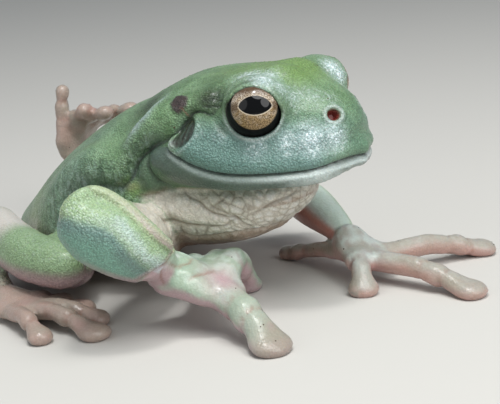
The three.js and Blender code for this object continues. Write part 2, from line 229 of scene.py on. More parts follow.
class Clay:
    """Distances to a surface that is built up form by form: below 0 is inside."""

    def __init__(self, low=LOW, high=HIGH):
        self.low = np.array(low)
        self.values = np.full(tuple(np.array(high) - low), BAND, np.float32)

    def part(self, low, high):
        """The slices of this block that hold the lattice points from low to high."""
        a = np.clip(np.array(low) - self.low, 0, self.values.shape)
        b = np.clip(np.array(high) - self.low, 0, self.values.shape)
        return tuple(slice(i, j) for i, j in zip(a, b))

    def grid(self, low, high):
        """The places of a part's lattice points, in mm."""
        where = self.part(low, high)
        axes = [(np.arange(s.start, s.stop) + self.low[c]) * VOXEL for c, s in enumerate(where)]
        return where, np.meshgrid(*axes, indexing="ij", sparse=True)

    def add(self, where, other, blend):
        """Joins another form on, with a fillet about as wide as blend."""
        mine = self.values[where]
        h = np.clip(0.5 + 0.5 * (other - mine) / blend, 0, 1)
        self.values[where] = (other * (1 - h) + mine * h - blend * h * (1 - h)).astype(np.float32)

    def cut(self, where, other, blend):
        """Takes another form away, with edges rounded about as wide as blend."""
        mine = self.values[where]
        h = np.clip(0.5 - 0.5 * (-other - mine) / blend, 0, 1)
        self.values[where] = (-other * (1 - h) + mine * h + blend * h * (1 - h)).astype(np.float32)

    def merge(self, other, blend):
        high = other.low + other.values.shape
        where = self.part(other.low, high)
        back = other.part(self.low + [s.start for s in where], self.low + [s.stop for s in where])
        self.add(where, other.values[back], blend)

    def tube(self, line, blend):
        """A rounded cord through points that each carry a radius in their fourth column."""
        line = np.asarray(line, float)
        reach = line[:, 3].max() + BAND
        low = np.floor((line[:, :3].min(0) - reach) / VOXEL).astype(int)
        high = np.ceil((line[:, :3].max(0) + reach) / VOXEL).astype(int) + 1
        where, (x, y, z) = self.grid(low, high)
        best = np.full(np.broadcast_shapes(x.shape, y.shape, z.shape), BAND, np.float32)
        for a, b in zip(line[:-1], line[1:]):
            ab = b - a
            length = float(ab[:3] @ ab[:3]) + 1e-9
            t = (x - a[0]) * ab[0] + (y - a[1]) * ab[1] + (z - a[2]) * ab[2]
            t = np.clip(t / length, 0, 1)
            dx, dy, dz = (place - a[c] - t * ab[c] for c, place in enumerate((x, y, z)))
            d = np.sqrt(dx**2 + dy**2 + dz**2)
            best = np.minimum(best, (d - a[3] - t * ab[3]).astype(np.float32))
        self.add(where, best, blend)

    def blob(self, centre, halves, axes, blend, cut=False):
        """An ellipsoid with its three half sizes along three directions."""
        centre, halves = np.asarray(centre, float), np.asarray(halves, float)
        reach = halves.max() + BAND
        low = np.floor((centre - reach) / VOXEL).astype(int)
        high = np.ceil((centre + reach) / VOXEL).astype(int) + 1
        where, (x, y, z) = self.grid(low, high)
        share, slope = 0.0, 0.0
        for direction, half in zip(axes, halves):
            along = (x - centre[0]) * direction[0] + (y - centre[1]) * direction[1]
            along = along + (z - centre[2]) * direction[2]
            share = share + (along / half) ** 2
            slope = slope + (along / half**2) ** 2
        share = np.sqrt(share)
        d = share * (share - 1) / np.maximum(np.sqrt(slope), 1e-6)
        d = np.clip(np.where(share < 0.2, -halves.min() * 0.8, d), -BAND, BAND).astype(np.float32)
        (self.cut if cut else self.add)(where, d, blend)


def welded(solid):
    """A solid's points and triangles, in mm from home, with its doubled points made one."""
    mesh = NODES[solid].data
    points = np.zeros(len(mesh.vertices) * 3, np.float32)
    mesh.vertices.foreach_get("co", points)
    points = points.reshape(-1, 3) * MM - HOME
    mesh.calc_loop_triangles()
    triangles = np.zeros(len(mesh.loop_triangles) * 3, np.int32)
    mesh.loop_triangles.foreach_get("vertices", triangles)
    _, first, back = np.unique(np.round(points, 3), axis=0, return_index=True, return_inverse=True)
    triangles = back.reshape(-1)[triangles].reshape(-1, 3)
    return points[first].astype(np.float32), triangles.astype(np.uint32)


def clay_of(solid, soften):
    """A solid as clay, with its facets softened over that many mm."""
    points, triangles = welded(solid)
    low = np.floor((points.min(0) - BAND - 1) / VOXEL).astype(int)
    high = np.ceil((points.max(0) + BAND + 1) / VOXEL).astype(int)
    spacing = vdb.createLinearTransform(VOXEL)
    grid = vdb.FloatGrid.createLevelSetFromPolygons(
        points, triangles=triangles, transform=spacing, halfWidth=BAND / VOXEL
    )
    clay = Clay(low, high)
    grid.copyToArray(clay.values, ijk=tuple(int(v) for v in low))
    clay.values = blur(clay.values, soften / VOXEL)
    return clay


def joined(solids, blend, soften_each=0.0):
    """Several solids joined as one clay, with a fillet between them."""
    clays = [clay_of(solid, soften_each) for solid in solids]
    low = np.min([c.low for c in clays], axis=0)
    high = np.max([c.low + c.values.shape for c in clays], axis=0)
    whole = Clay(low, high)
    for clay in clays:
        whole.merge(clay, blend)
    return whole


# ---------------------------------------------------------------- the flesh, form by form
# Forms of the right side, as lines of points with a radius. The left side is their mirror image.
JAW_BAND = [
    [11.0, 0.0, 25.9, 1.3], [9.3, -5.2, 25.5, 1.3], [5.6, -9.6, 25.0, 1.35],
    [0.0, -12.9, 24.8, 1.4], [-6.0, -14.8, 24.7, 1.7], [-12.0, -15.3, 25.1, 2.0],
    [-17.0, -15.0, 26.2, 2.4], [-20.6, -14.6, 27.6, 2.4],
]
JAW_LOBE = [[-23.8, -14.8, 28.6, 1.6], [-24.7, -14.5, 25.6, 2.1], [-23.6, -14.1, 22.9, 1.8]]
UPPER_LIP = [
    [11.3, 0.0, 28.6, 0.9], [9.9, -5.2, 28.5, 0.9], [6.2, -9.8, 28.0, 0.95],
    [0.2, -13.4, 27.8, 1.0], [-6.0, -15.4, 27.9, 1.1], [-12.0, -16.0, 29.2, 1.2],
    [-16.5, -15.9, 31.2, 1.2],
]
# The broad fatty fold that runs back over the ear drum and down the neck to the shoulder.
EAR_FOLD = [
    [-12.6, -10.6, 37.2, 2.6], [-16.8, -11.2, 35.9, 3.0], [-20.6, -11.9, 34.2, 3.2],
    [-23.6, -12.9, 31.6, 3.2], [-26.6, -13.3, 29.0, 3.1], [-28.2, -13.8, 26.4, 3.1],
    [-29.0, -14.2, 23.8, 3.0],
]
# The swelling over the shoulder, and the roll of loose skin that hangs below it.
SHOULDER_ROLL = [
    [-31.2, -14.6, 25.0, 3.2], [-35.0, -14.8, 25.4, 3.6], [-39.6, -14.9, 23.4, 3.6],
    [-44.6, -14.4, 19.4, 3.2], [-49.6, -12.9, 14.4, 2.4],
]
EYE_AIM = {"forward": 25, "raised": 4}  # degrees, the way the lids open
# The lids' edge; upper says how high the upper lid's arch is, as a share of the lower one's.
LID = {"radius": 4.68, "ahead": 2.5, "thick": 0.38, "thicker_on_top": 0.2, "upper": 0.87}
# The dome of lids and brow over each eye, and the opening between the lids: where their middles
# lie from the eye's, and their half sizes.
ORBIT = {"behind": 0.9, "above": 0.3, "halves": (6.0, 5.1, 5.2)}
OPENING = {"ahead": 2.0, "below": 0.4, "halves": (4.0, 4.5, 3.8)}


def eye_axes(side, forward, raised):
    """The way an eye points, level across it and up it."""
    f, r = math.radians(forward), math.radians(raised)
    look = np.array([math.cos(r) * math.sin(f), side * math.cos(r) * math.cos(f), math.sin(r)])
    across = unit(np.cross([0, 0, 1], look))
    return look, across, np.cross(look, across)


def eye_centre(side):
    return EYE_CENTRE * np.array([1, side, 1])


def shape_orbit(head, side):
    """The dome over an eye, the lid's edge as a thin ring, and the opening between the lids."""
    look, across, up = eye_axes(side, **EYE_AIM)
    centre = eye_centre(side)
    dome = centre - look * ORBIT["behind"] + np.array([0, 0, ORBIT["above"]])
    head.blob(dome, ORBIT["halves"], np.eye(3), 1.8)
    middle = centre + look * LID["ahead"]
    ring = []
    for turn in np.linspace(0, 2 * math.pi, 33):
        high = math.sin(turn) * (LID["upper"] if turn < math.pi else 1.0)
        place = middle + LID["radius"] * (across * math.cos(turn) + up * high)
        ring.append([*place, LID["thick"] + LID["thicker_on_top"] * max(math.sin(turn), 0)])
    head.tube(ring, 1.0)
    opening = centre + look * OPENING["ahead"] - up * OPENING["below"]
    head.blob(opening, OPENING["halves"], (look, across, up), 0.4, cut=True)


# How much the solids' facets are softened, in mm.
SOFTEN = {
    "head": 1.5, "throat": 1.2, "trunk": 2.0, "limb": 0.9, "tarsus": 0.6, "digit": 0.4, "all": 0.35,
}


def shape_head():
    """The head with its jaw, lips and orbits."""
    head = joined(("head", "lower_jaw"), blend=0.9)
    head.values = blur(head.values, SOFTEN["head"] / VOXEL)
    for side in (-1, 1):
        keep = np.array([1, -side, 1, 1])
        head.tube(smooth_line(np.array(JAW_BAND) * keep), 1.2)
        head.tube(smooth_line(np.array(JAW_LOBE) * keep), 0.9)
        head.tube(smooth_line(np.array(UPPER_LIP) * keep), 2.0)
        shape_orbit(head, side)
    return head


TIP_DEPTH = 1.6  # mm from a digit's far end; what lies within it is the tip
BEFORE_TIP = (5.0, 3.5)  # mm from the far end; the slice that shows the way the digit comes from
DISC_REACH = 5  # mm from the tip; the disc lies within it
# The pad at a digit's end: how far behind the tip and how wide, as shares of half the disc's
# width, and half its thickness in mm.
PAD = {"behind": 0.45, "wide": 0.98, "thick": 1.5}


def far_end(solid, start):
    """The middle of a digit's tip, which is the end farthest from start, and the way it points."""
    points, _ = welded(solid)
    away = np.linalg.norm(points - start, axis=1)
    tip = points[away > away.max() - TIP_DEPTH].mean(0)
    rest = away < away.max() - BEFORE_TIP[1]
    before = points[rest & (away > away[rest].max() - (BEFORE_TIP[0] - BEFORE_TIP[1]))].mean(0)
    return tip, unit(tip - before)


def disc_width(solid, tip, across):
    """Half the width of a digit's end disc."""
    points, _ = welded(solid)
    near = points[np.linalg.norm(points - tip, axis=1) < DISC_REACH]
    return float(np.abs((near - tip) @ across).max())


class Digit:
    """Where a finger or toe ends, the way it points, and how wide its disc is."""

    def __init__(self, solid, root):
        self.solid = solid
        self.tip, along = far_end(solid, root)
        self.level = unit([along[0], along[1], 0.35 * along[2]]) if abs(along[2]) < 0.8 else along
        self.across = unit(np.cross([0, 0, 1], self.level))
        self.over = np.cross(self.level, self.across)
        self.half = disc_width(solid, self.tip, self.across)


def digits_of(palm):
    """A hand's fingers or a foot's toes."""
    part, side = palm.split("_")
    kind = "finger" if part == "hand" else "toe"
    root = middle_mm(palm) - HOME
    return [Digit(name, root) for name in (*FINGERS, *TOES) if name.startswith(f"{kind}_{side}")]


# How far the soft skin stands off the solids of hands and feet, in mm.
SWELL = {"hand": 0.5, "foot": 0.3}
# The web between the two outer fingers of the right hand.
WEB = {"middle": (-5.2, -20.6, 7.5), "halves": (3.6, 3.8, 0.75), "over": (0.19, 0.16, 0.97)}
# The edge of the upper arm's loose skin, which lies over the top of the forearm.
ARM_FOLD = [
    [-21.0, -41.6, 25.6, 1.1], [-20.4, -40.6, 27.0, 1.1], [-19.4, -38.9, 27.9, 1.1],
    [-18.2, -37.0, 27.7, 1.1], [-16.6, -35.6, 26.6, 1.05], [-14.6, -34.4, 24.7, 1.0],
    [-12.8, -33.6, 22.9, 0.95], [-11.0, -32.9, 21.0, 0.9], [-9.9, -31.8, 19.2, 0.8],
    [-9.6, -30.2, 17.6, 0.7],
]


def shape_digits(palm):
    """A palm or sole with its digits and web, and the round pad at the end of each digit."""
    digits = digits_of(palm)
    clay = joined([palm, *[digit.solid for digit in digits]], 1.3, SOFTEN["digit"])
    clay.values -= SWELL[palm.split("_")[0]]
    for digit in digits:
        middle = digit.tip - digit.level * digit.half * PAD["behind"]
        halves = (digit.half * PAD["wide"], digit.half * PAD["wide"], PAD["thick"])
        clay.blob(middle, halves, (digit.level, digit.across, digit.over), 0.7)
    return clay


def shape_body():
    """Head, throat and trunk, with the folds over ear drum and shoulder."""
    block = Clay()
    block.merge(shape_head(), 0.5)
    block.merge(clay_of("throat", SOFTEN["throat"]), 0.9)
    block.merge(clay_of("trunk", SOFTEN["trunk"]), 4.0)
    for side in (-1, 1):
        keep = np.array([1, -side, 1, 1])
        block.tube(smooth_line(np.array(SHOULDER_ROLL) * keep), 2.4)
        block.tube(smooth_line(np.array(EAR_FOLD) * keep), 1.6)
    return block


def shape_limbs(block):
    """Joins both arms and both legs on."""
    soften = SOFTEN["limb"]
    for side in SIDES:
        arm = Clay()
        arm.merge(joined([f"upper_arm_{side}", f"forearm_{side}"], 0.8, soften), 0.5)
        if side == "right":
            arm.tube(smooth_line(ARM_FOLD), 1.6)
        arm.merge(shape_digits(f"hand_{side}"), 0.7)
        if side == "right":
            over = unit(WEB["over"])
            ahead = unit(np.cross([0, 1, 0], over))
            arm.blob(WEB["middle"], WEB["halves"], (ahead, np.cross(over, ahead), over), 1.4)
        block.merge(arm, 1.0)
        leg = Clay()
        leg.merge(joined([f"thigh_{side}", f"shank_{side}"], 1.0, soften), 0.5)
        leg.merge(clay_of(f"tarsus_{side}", SOFTEN["tarsus"]), 1.2)
        leg.merge(shape_digits(f"foot_{side}"), 0.9)
        block.merge(leg, 1.0)


# ---------------------------------------------------------------- from clay to a mesh
def sample(clay, points):
    """A clay's distances at any points, in mm."""
    spot = points / VOXEL - clay.low
    top = np.array(clay.values.shape) - 2
    base = np.clip(np.floor(spot).astype(int), 0, top)
    f = np.clip(spot - base, 0, 1)
    total = np.zeros(len(points))
    for corner in np.ndindex(2, 2, 2):
        weight = np.prod([f[:, c] if corner[c] else 1 - f[:, c] for c in range(3)], axis=0)
        total += weight * clay.values[tuple((base + np.array(corner)).T)]
    return total


def steepest(clay, points):
    """The direction in which a clay's distances grow fastest, which is out of its surface."""
    step = 0.6 * VOXEL
    steps = step * np.eye(3)
    slope = np.stack([sample(clay, points + s) - sample(clay, points - s) for s in steps], -1)
    return slope / np.maximum(np.linalg.norm(slope, axis=1, keepdims=True), 1e-6)


def settle(clay, points, rounds=2):
    """Points moved onto the clay's surface."""
    for _ in range(rounds):
        points = points - sample(clay, points)[:, None] * steepest(clay, points) * 0.9
    return points


def respaced(clay, step):
    """The clay's distances on a coarser lattice with that spacing, in mm."""
    values = clay.values
    for axis in range(3):
        size = values.shape[axis]
        spot = np.arange(int((size - 1) * VOXEL / step)) * step / VOXEL
        base = np.floor(spot).astype(int)
        share = (spot - base).astype(np.float32)
        shape = [1, 1, 1]
        shape[axis] = -1
        share = share.reshape(shape)
        values = values.take(base, axis) * (1 - share) + values.take(base + 1, axis) * share
    return np.ascontiguousarray(values, np.float32)


def outer_shell(points, quads):
    """Only the largest connected part of a mesh: pockets left inside the flesh are dropped."""
    a, b = quads.reshape(-1), np.roll(quads, -1, axis=1).reshape(-1)
    label = np.arange(len(points))
    while True:
        lower = np.minimum(label[a], label[b])
        new = label.copy()
        np.minimum.at(new, a, lower)
        np.minimum.at(new, b, lower)
        new = new[new]
        if np.array_equal(new, label):
            break
        label = new
    main = np.bincount(label[quads[:, 0]]).argmax()
    quads = quads[label[quads[:, 0]] == main]
    used, back = np.unique(quads, return_inverse=True)
    return points[used], back.reshape(-1, 4)


def drawn(clay, step):
    """The clay's surface as a Blender mesh in mm, with faces about a step wide that point out."""
    grid = vdb.FloatGrid(BAND)
    grid.copyFromArray(respaced(clay, step))
    grid.transform = vdb.createLinearTransform(step)
    points, quads = grid.convertToQuads(0.0)
    points = points.astype(float) + clay.low * VOXEL
    points, quads = outer_shell(points, quads.astype(int))
    corners = points[quads]
    normals = np.cross(corners[:, 2] - corners[:, 0], corners[:, 3] - corners[:, 1])
    if ((corners.mean(1) - points.mean(0)) * normals).sum() < 0:
        quads = quads[:, ::-1]
    mesh = bpy.data.meshes.new("frog_skin")
    mesh.from_pydata(points.tolist(), [], quads.tolist())
    return mesh


def places(mesh):
    values = np.zeros(len(mesh.vertices) * 3)
    mesh.vertices.foreach_get("co", values)
    return values.reshape(-1, 3)


def normals_of(mesh):
    values = np.zeros(len(mesh.vertices) * 3, np.float32)
    mesh.vertex_normals.foreach_get("vector", values)
    return values.reshape(-1, 3).astype(float)


def put(mesh, points):
    mesh.vertices.foreach_set("co", np.asarray(points, np.float64).ravel())
    mesh.update()


def edges_of(mesh):
    """The two points at the ends of each edge."""
    pairs = np.zeros(len(mesh.edges) * 2, np.int32)
    mesh.edges.foreach_get("vertices", pairs)
    return pairs.reshape(-1, 2)


def evened(mesh, rounds, share=0.5):
    """Each point drawn towards the middle of its neighbours, which evens the mesh."""
    pairs = edges_of(mesh)
    points = places(mesh)
    count = np.bincount(pairs.ravel(), minlength=len(points))[:, None]
    for _ in range(rounds):
        total = np.zeros_like(points)
        for c in range(3):
            for here, there in (pairs.T, pairs.T[::-1]):
                total[:, c] += np.bincount(here, points[there, c], len(points))
        points = points + share * (total / count - points)
    return points


def refine(mesh, wanted):
    """Splits the faces in the wanted part of the mesh into four."""
    bm = bmesh.new()
    bm.from_mesh(mesh)
    flags = wanted.tolist()
    split = [e for e in bm.edges if flags[e.verts[0].index] and flags[e.verts[1].index]]
    bmesh.ops.subdivide_edges(bm, edges=split, cuts=1, use_grid_fill=True)
    bmesh.ops.triangulate(bm, faces=[f for f in bm.faces if len(f.verts) > 4])
    bm.to_mesh(mesh)
    bm.free()


# ---------------------------------------------------------------- skin: what lies where
def named(*starts):
    """The flesh solids whose names start with one of the given words."""
    return [name for name in FLESH if name.startswith(starts)]


def mouth_height(x):
    """The height of the mouth line at places along X."""
    line = smooth_line(MOUTH_LINE[::-1])
    return np.interp(x, line[:, 0], line[:, 1])


def distance_to(solid, points):
    """How far points are from a solid, in mm, up to the width of the band."""
    clay = clay_of(solid, 0.0)
    spot = points / VOXEL - clay.low
    inside = np.all((spot > 0) & (spot < np.array(clay.values.shape) - 1), axis=1)
    found = np.full(len(points), BAND)
    found[inside] = sample(clay, points[inside])
    return found


class Skin:
    """The skin's points with what each feature needs to know of them, and its finishes.

    The points p and normals n are as they lie. In q and m both sides are folded onto the right
    one, so that what is made along a line there is made on the left as well.
    """

    def __init__(self, points, normals, block):
        side = np.where(points[:, 1] > 0, -1.0, 1.0)[:, None]
        fold = side * np.array([0, 1, 0]) + np.array([1, 0, 1])
        self.p, self.q = points, points * fold
        self.n, self.m = normals, normals * fold
        self.block = block
        self.away = {name: distance_to(name, points) for name in FLESH}
        self.lift = np.zeros(len(points))
        self.mask = {}

    def share(self, wanted, blend=0.8):
        """1 where one of the wanted solids is the nearest, and 0 where another one is."""
        rest = [name for name in FLESH if name not in wanted]
        to_wanted = np.min([self.away[name] for name in wanted], axis=0)
        to_rest = np.min([self.away[name] for name in rest], axis=0)
        return ramp(to_rest - to_wanted, -blend, blend)

    def paint(self, name, amount):
        amount = np.clip(amount, 0, 1)
        old = self.mask.get(name)
        self.mask[name] = amount if old is None else np.maximum(old, amount)

    def off(self, line, both=True, reach=5.0):
        """Each point's distance to a line laid on the surface, how far along the line that is, and
        1 if it lies below the line as that runs from left to right, seen from outside, else -1."""
        laid = settle(self.block, smooth_line(line)[:, :3])
        points, normals = (self.q, self.m) if both else (self.p, self.n)
        close = np.all((points > laid.min(0) - reach) & (points < laid.max(0) + reach), axis=1)
        distance = np.full(len(points), 1e3)
        along, below = np.zeros(len(points)), np.ones(len(points))
        distance[close], along[close], across, way = to_line(points[close], laid)
        below[close] = np.sign((across * np.cross(way, normals[close])).sum(1))
        return distance, along, below

    def groove(self, line, depth, width, dark=0.0, tone="dark"):
        """A crease that fades out at its ends, with painted shade in its bottom."""
        distance, along, _ = self.off(line)
        fade = fading(along)
        self.lift -= depth * hump(distance, width) * fade
        self.paint(tone, dark * hump(distance, 0.6 * width) * fade)

    def fold(self, line, depth, width, dark=0.0, both=True, tone="dark"):
        """Two rolls of skin that meet in a sharp crease, painted darker along it (painted shade in
        the dark tone).
        """
        distance, along, _ = self.off(line, both)
        fade = fading(along, 0.02, 0.35)
        self.lift -= depth * np.exp(-distance / width) * fade
        self.paint(tone, dark * hump(distance, 0.27) * fade)

    def ridge(self, line, height, width):
        """A soft roll along a line."""
        distance, along, _ = self.off(line)
        self.lift += height * hump(distance, width) * fading(along)

    def spot(self, middle, width, both=True):
        """A soft round spot on the surface."""
        middle = settle(self.block, np.array([middle], float))[0]
        return hump(np.linalg.norm((self.q if both else self.p) - middle, axis=1), width)


# ---------------------------------------------------------------- skin: the head
# The deep crease from behind the eye over the ear drum, and down the neck to the shoulder.
NECK_CREASE = [
    [-9.6, -12.9, 37.4], [-10.9, -14.0, 36.2], [-12.4, -13.6, 36.3], [-14.1, -13.9, 36.4],
    [-15.2, -14.1, 35.5], [-16.2, -14.3, 34.5], [-17.3, -15.1, 33.3], [-18.4, -15.7, 32.2],
    [-19.8, -15.4, 31.1], [-21.0, -15.3, 30.5], [-22.6, -15.5, 29.8], [-24.2, -15.8, 28.6],
    [-25.8, -15.9, 27.1], [-26.7, -16.1, 25.7], [-27.2, -16.4, 24.3], [-28.1, -16.7, 23.1],
    [-29.8, -17.1, 21.6],
]
# The crest along the top of the neck's roll, with a bluish painted sheen.
ROLL_CREST = [
    [-22.8, -10.6, 38.0], [-23.5, -12.4, 36.6], [-24.1, -14.0, 35.0], [-25.8, -14.9, 33.2],
    [-27.2, -15.5, 31.7], [-28.3, -16.0, 29.8],
]
LOBE_CREASE = [
    [-23.4, -15.8, 29.4], [-23.7, -16.3, 28.3], [-23.6, -16.7, 27.0], [-23.2, -16.5, 25.6],
    [-22.5, -16.2, 24.3], [-21.6, -15.6, 23.3], [-20.3, -14.9, 22.6],
]
ROLL_EDGE = [
    [-29.4, -17.4, 21.9], [-34.4, -18.4, 21.9], [-39.5, -18.9, 19.6], [-44.4, -18.6, 16.8],
]
BEHIND_EYE = [
    [-10.3, -14.1, 36.0], [-9.2, -14.4, 34.9], [-8.3, -14.7, 34.0], [-7.2, -14.9, 33.2],
    [-6.2, -15.0, 32.7],
]
TEMPLE_CREASES = [
    [[-13.0, -13.0, 38.1], [-11.8, -13.0, 38.4], [-10.8, -12.5, 38.6], [-9.4, -12.7, 38.4]],
    [[-13.2, -13.3, 37.5], [-11.8, -13.1, 37.2], [-10.4, -12.9, 37.3], [-9.0, -13.3, 37.6]],
    [[-9.4, -13.0, 38.2], [-9.2, -12.2, 38.9], [-9.4, -11.0, 39.8]],
    [[-10.4, -12.6, 38.3], [-10.6, -11.4, 39.2], [-11.2, -9.8, 40.3]],
]
SNOUT_LEDGE = [
    [4.4, -10.9, 32.3], [6.2, -9.4, 33.2], [7.7, -7.6, 34.2], [9.0, -6.0, 34.2],
    [11.1, -3.2, 33.4],
]
SNOUT_VALLEY = [[1.6, -11.6, 34.6], [4.4, -9.9, 35.2], [7.2, -7.3, 35.1]]
SNOUT_PAD = [[2.6, -12.4, 30.6], [6.0, -10.2, 31.4], [8.8, -7.4, 32.0], [10.8, -4.4, 31.6]]
EAR_DRUM = {
    "middle": (-15.5, -16.1, 32.9), "up": (0.36, 0.52, 0.77), "long": 3.1, "wide": 2.05,
    "sunk": 0.55, "ring": 0.25,
}
EAR_KNOB = (-17.3, -17.4, 31.2)
NOSTRIL = {"middle": (9.0, -5.0, 35.6), "radius": 1.2, "flat": 1.2, "rim": 0.22, "deep": 1.5}
SCAB = {"middle": (-17.6, -13.7, 37.6), "radius": 1.9}
SCAB_TRAIL = [[-16.6, -14.2, 36.8], [-16.1, -14.4, 36.4], [-15.6, -14.4, 35.8]]


MOUTH_END = (-19.6, -17.8)  # along X, where the slit begins to show
SLIT = {"depth": 0.6, "width": 0.2}


def sculpt_mouth(skin):
    """The thin slit of the mouth, with a fuller and paler lip below it."""
    q = skin.q
    below = mouth_height(q[:, 0]) - q[:, 2]
    in_mouth = ramp(q[:, 0], *MOUTH_END) * (q[:, 1] > -20)
    skin.lift -= SLIT["depth"] * hump(below, SLIT["width"]) * in_mouth
    # Painted shade in the slit.
    skin.paint("dark", 0.9 * hump(below, 0.13) * in_mouth)
    skin.lift += (0.24 * hump(below - 1.1, 0.8) + 0.1 * hump(below + 0.8, 0.6)) * in_mouth
    band, _, _ = skin.off(np.array(JAW_BAND)[:, :3])
    low = np.interp(q[:, 0], (-17.0, -14.0), (21.6, 15.0))
    jaw = (1 - ramp(band, 2.4, 3.2)) * (below > -0.1) * ramp(q[:, 2] - low, -0.3, 0.5)
    skin.paint("jaw", jaw)
    skin.paint("lip", hump(below - 0.75, 0.5) * in_mouth * (0.3 + 0.6 * ramp(q[:, 0], -5, 4)))
    chin = jaw * ramp(q[:, 0], 4.5, 10) * (below > 0.1)
    pale = jaw * ramp(q[:, 0], 0.5, 8) * (below > 0.1)
    skin.paint("lip", pale * (0.75 + 0.25 * drift(q, 1.2, 31)) * (1 - 0.5 * ramp(q[:, 0], 8, 11)))
    flakes = chin * ramp(drift(q, 0.8, 32), 0.3, 0.45)
    skin.lift += 0.1 * flakes
    skin.paint("cream", 0.9 * flakes)


def sculpt_ear(skin):
    """The ear drum, sunk in a shallow dish under the fold, with a pale knob at its lower end."""
    up = unit(EAR_DRUM["up"])
    middle = settle(skin.block, np.array([EAR_DRUM["middle"]]))[0]
    offset = skin.q - middle
    tall = offset @ up
    wide = offset @ unit(np.cross(up, unit((-0.1, -1, 0.1))))
    reach = np.sqrt((tall / EAR_DRUM["long"]) ** 2 + (wide / EAR_DRUM["wide"]) ** 2)
    close = np.linalg.norm(offset, axis=1) < 6
    crease, _, under = skin.off(NECK_CREASE)
    below_fold = ramp(-crease * under, -0.3, 0.3)
    drum = (1 - ramp(reach, 0.88, 1.06)) * close * below_fold
    ring = EAR_DRUM["ring"] * hump(reach - 1.22, 0.14)
    skin.lift += (-EAR_DRUM["sunk"] * drum + ring * below_fold) * close
    skin.paint("drum", drum * (0.88 + 0.12 * np.sin(6 * wide + 2 * tall)))
    skin.paint("lip", 0.3 * hump(reach - 1.2, 0.1) * close * below_fold * ramp(-tall, -2, 2))
    knob = skin.spot(EAR_KNOB, 0.75)
    skin.lift += 0.4 * knob
    skin.paint("lip", 0.8 * knob)


def sculpt_nostrils(skin):
    """A round pit in a raised pale rim, each side of the snout."""
    middle = settle(skin.block, np.array([NOSTRIL["middle"]]))[0]
    d = np.linalg.norm((skin.q - middle) * (1, 1, NOSTRIL["flat"]), axis=1)
    r = NOSTRIL["radius"]
    skin.lift += NOSTRIL["rim"] * hump(d - 1.5 * r, 0.45 * r)
    skin.lift -= NOSTRIL["deep"] * (1 - ramp(d, 0.5 * r, 1.12 * r))
    skin.paint("nostril", 1 - ramp(d, 0.85 * r, 1.15 * r))
    skin.paint("lip", 0.5 * hump(d - 1.4 * r, 0.3 * r))


def sculpt_lids(skin):
    """The lids' dark inner edge, and a pale line along the lower lid."""
    for side in (-1, 1):
        offset = skin.p - eye_centre(side)
        d = np.linalg.norm(offset, axis=1)
        skin.paint("rim", 1 - ramp(d, EYE_RADIUS + 0.12, EYE_RADIUS + 0.4))
        low = ramp(-offset[:, 2], -1.0, 2.5)
        skin.paint("lip", (0.12 + 0.5 * low) * hump(d - EYE_RADIUS - 0.62, 0.2))


# Soft spots where the skin's height is not the solids': middle, how the axes are stretched,
# width and height.
PROFILE = (
    ((-12.5, 0.0, 42.8), (1.0, 1.2, 1.0), 6.0, -0.75),  # the skull behind the brows
    ((-2.3, -3.9, 42.4), (1.0, 1.0, 1.0), 3.5, 1.3),  # between the eyes
    ((-67.0, -6.0, 9.0), (1.0, 1.0, 1.0), 11.0, -1.3),  # the rump
)


def sculpt_profile(skin):
    """Where the skull is flatter behind the brows, and the snout shorter, than the solids are."""
    q = skin.q
    for middle, stretch, width, height in PROFILE:
        skin.lift += height * hump(np.linalg.norm((q - middle) / stretch, axis=1), width)
    snout = ramp(q[:, 0], 7.0, 11.5) * ramp(q[:, 2], 21.0, 23.0)
    skin.lift -= snout * (0.35 * ramp(-q[:, 2], -34, -30) + 0.65 * ramp(-q[:, 2], -30, -25))


# Painted shade in a dark olive green: behind and under the eye, over the neck, and where the
# flank meets the arm.
SHADED = [
    ((-11.6, -12.3, 38.4), 3.1, 1.0),
    ((-13.0, -8.0, 40.8), 3.5, 0.35),
    ((-14.6, -14.3, 36.2), 1.6, 0.8),
    ((-8.0, -14.7, 33.8), 1.3, 0.5),
    ((-27.7, -9.1, 35.8), 3.8, 0.85),
    ((-40.0, -18.5, 20.6), 2.2, 0.6),
    ((-37.0, -18.3, 21.8), 2.2, 0.7),
    ((-33.5, -17.5, 22.0), 2.2, 0.7),
]


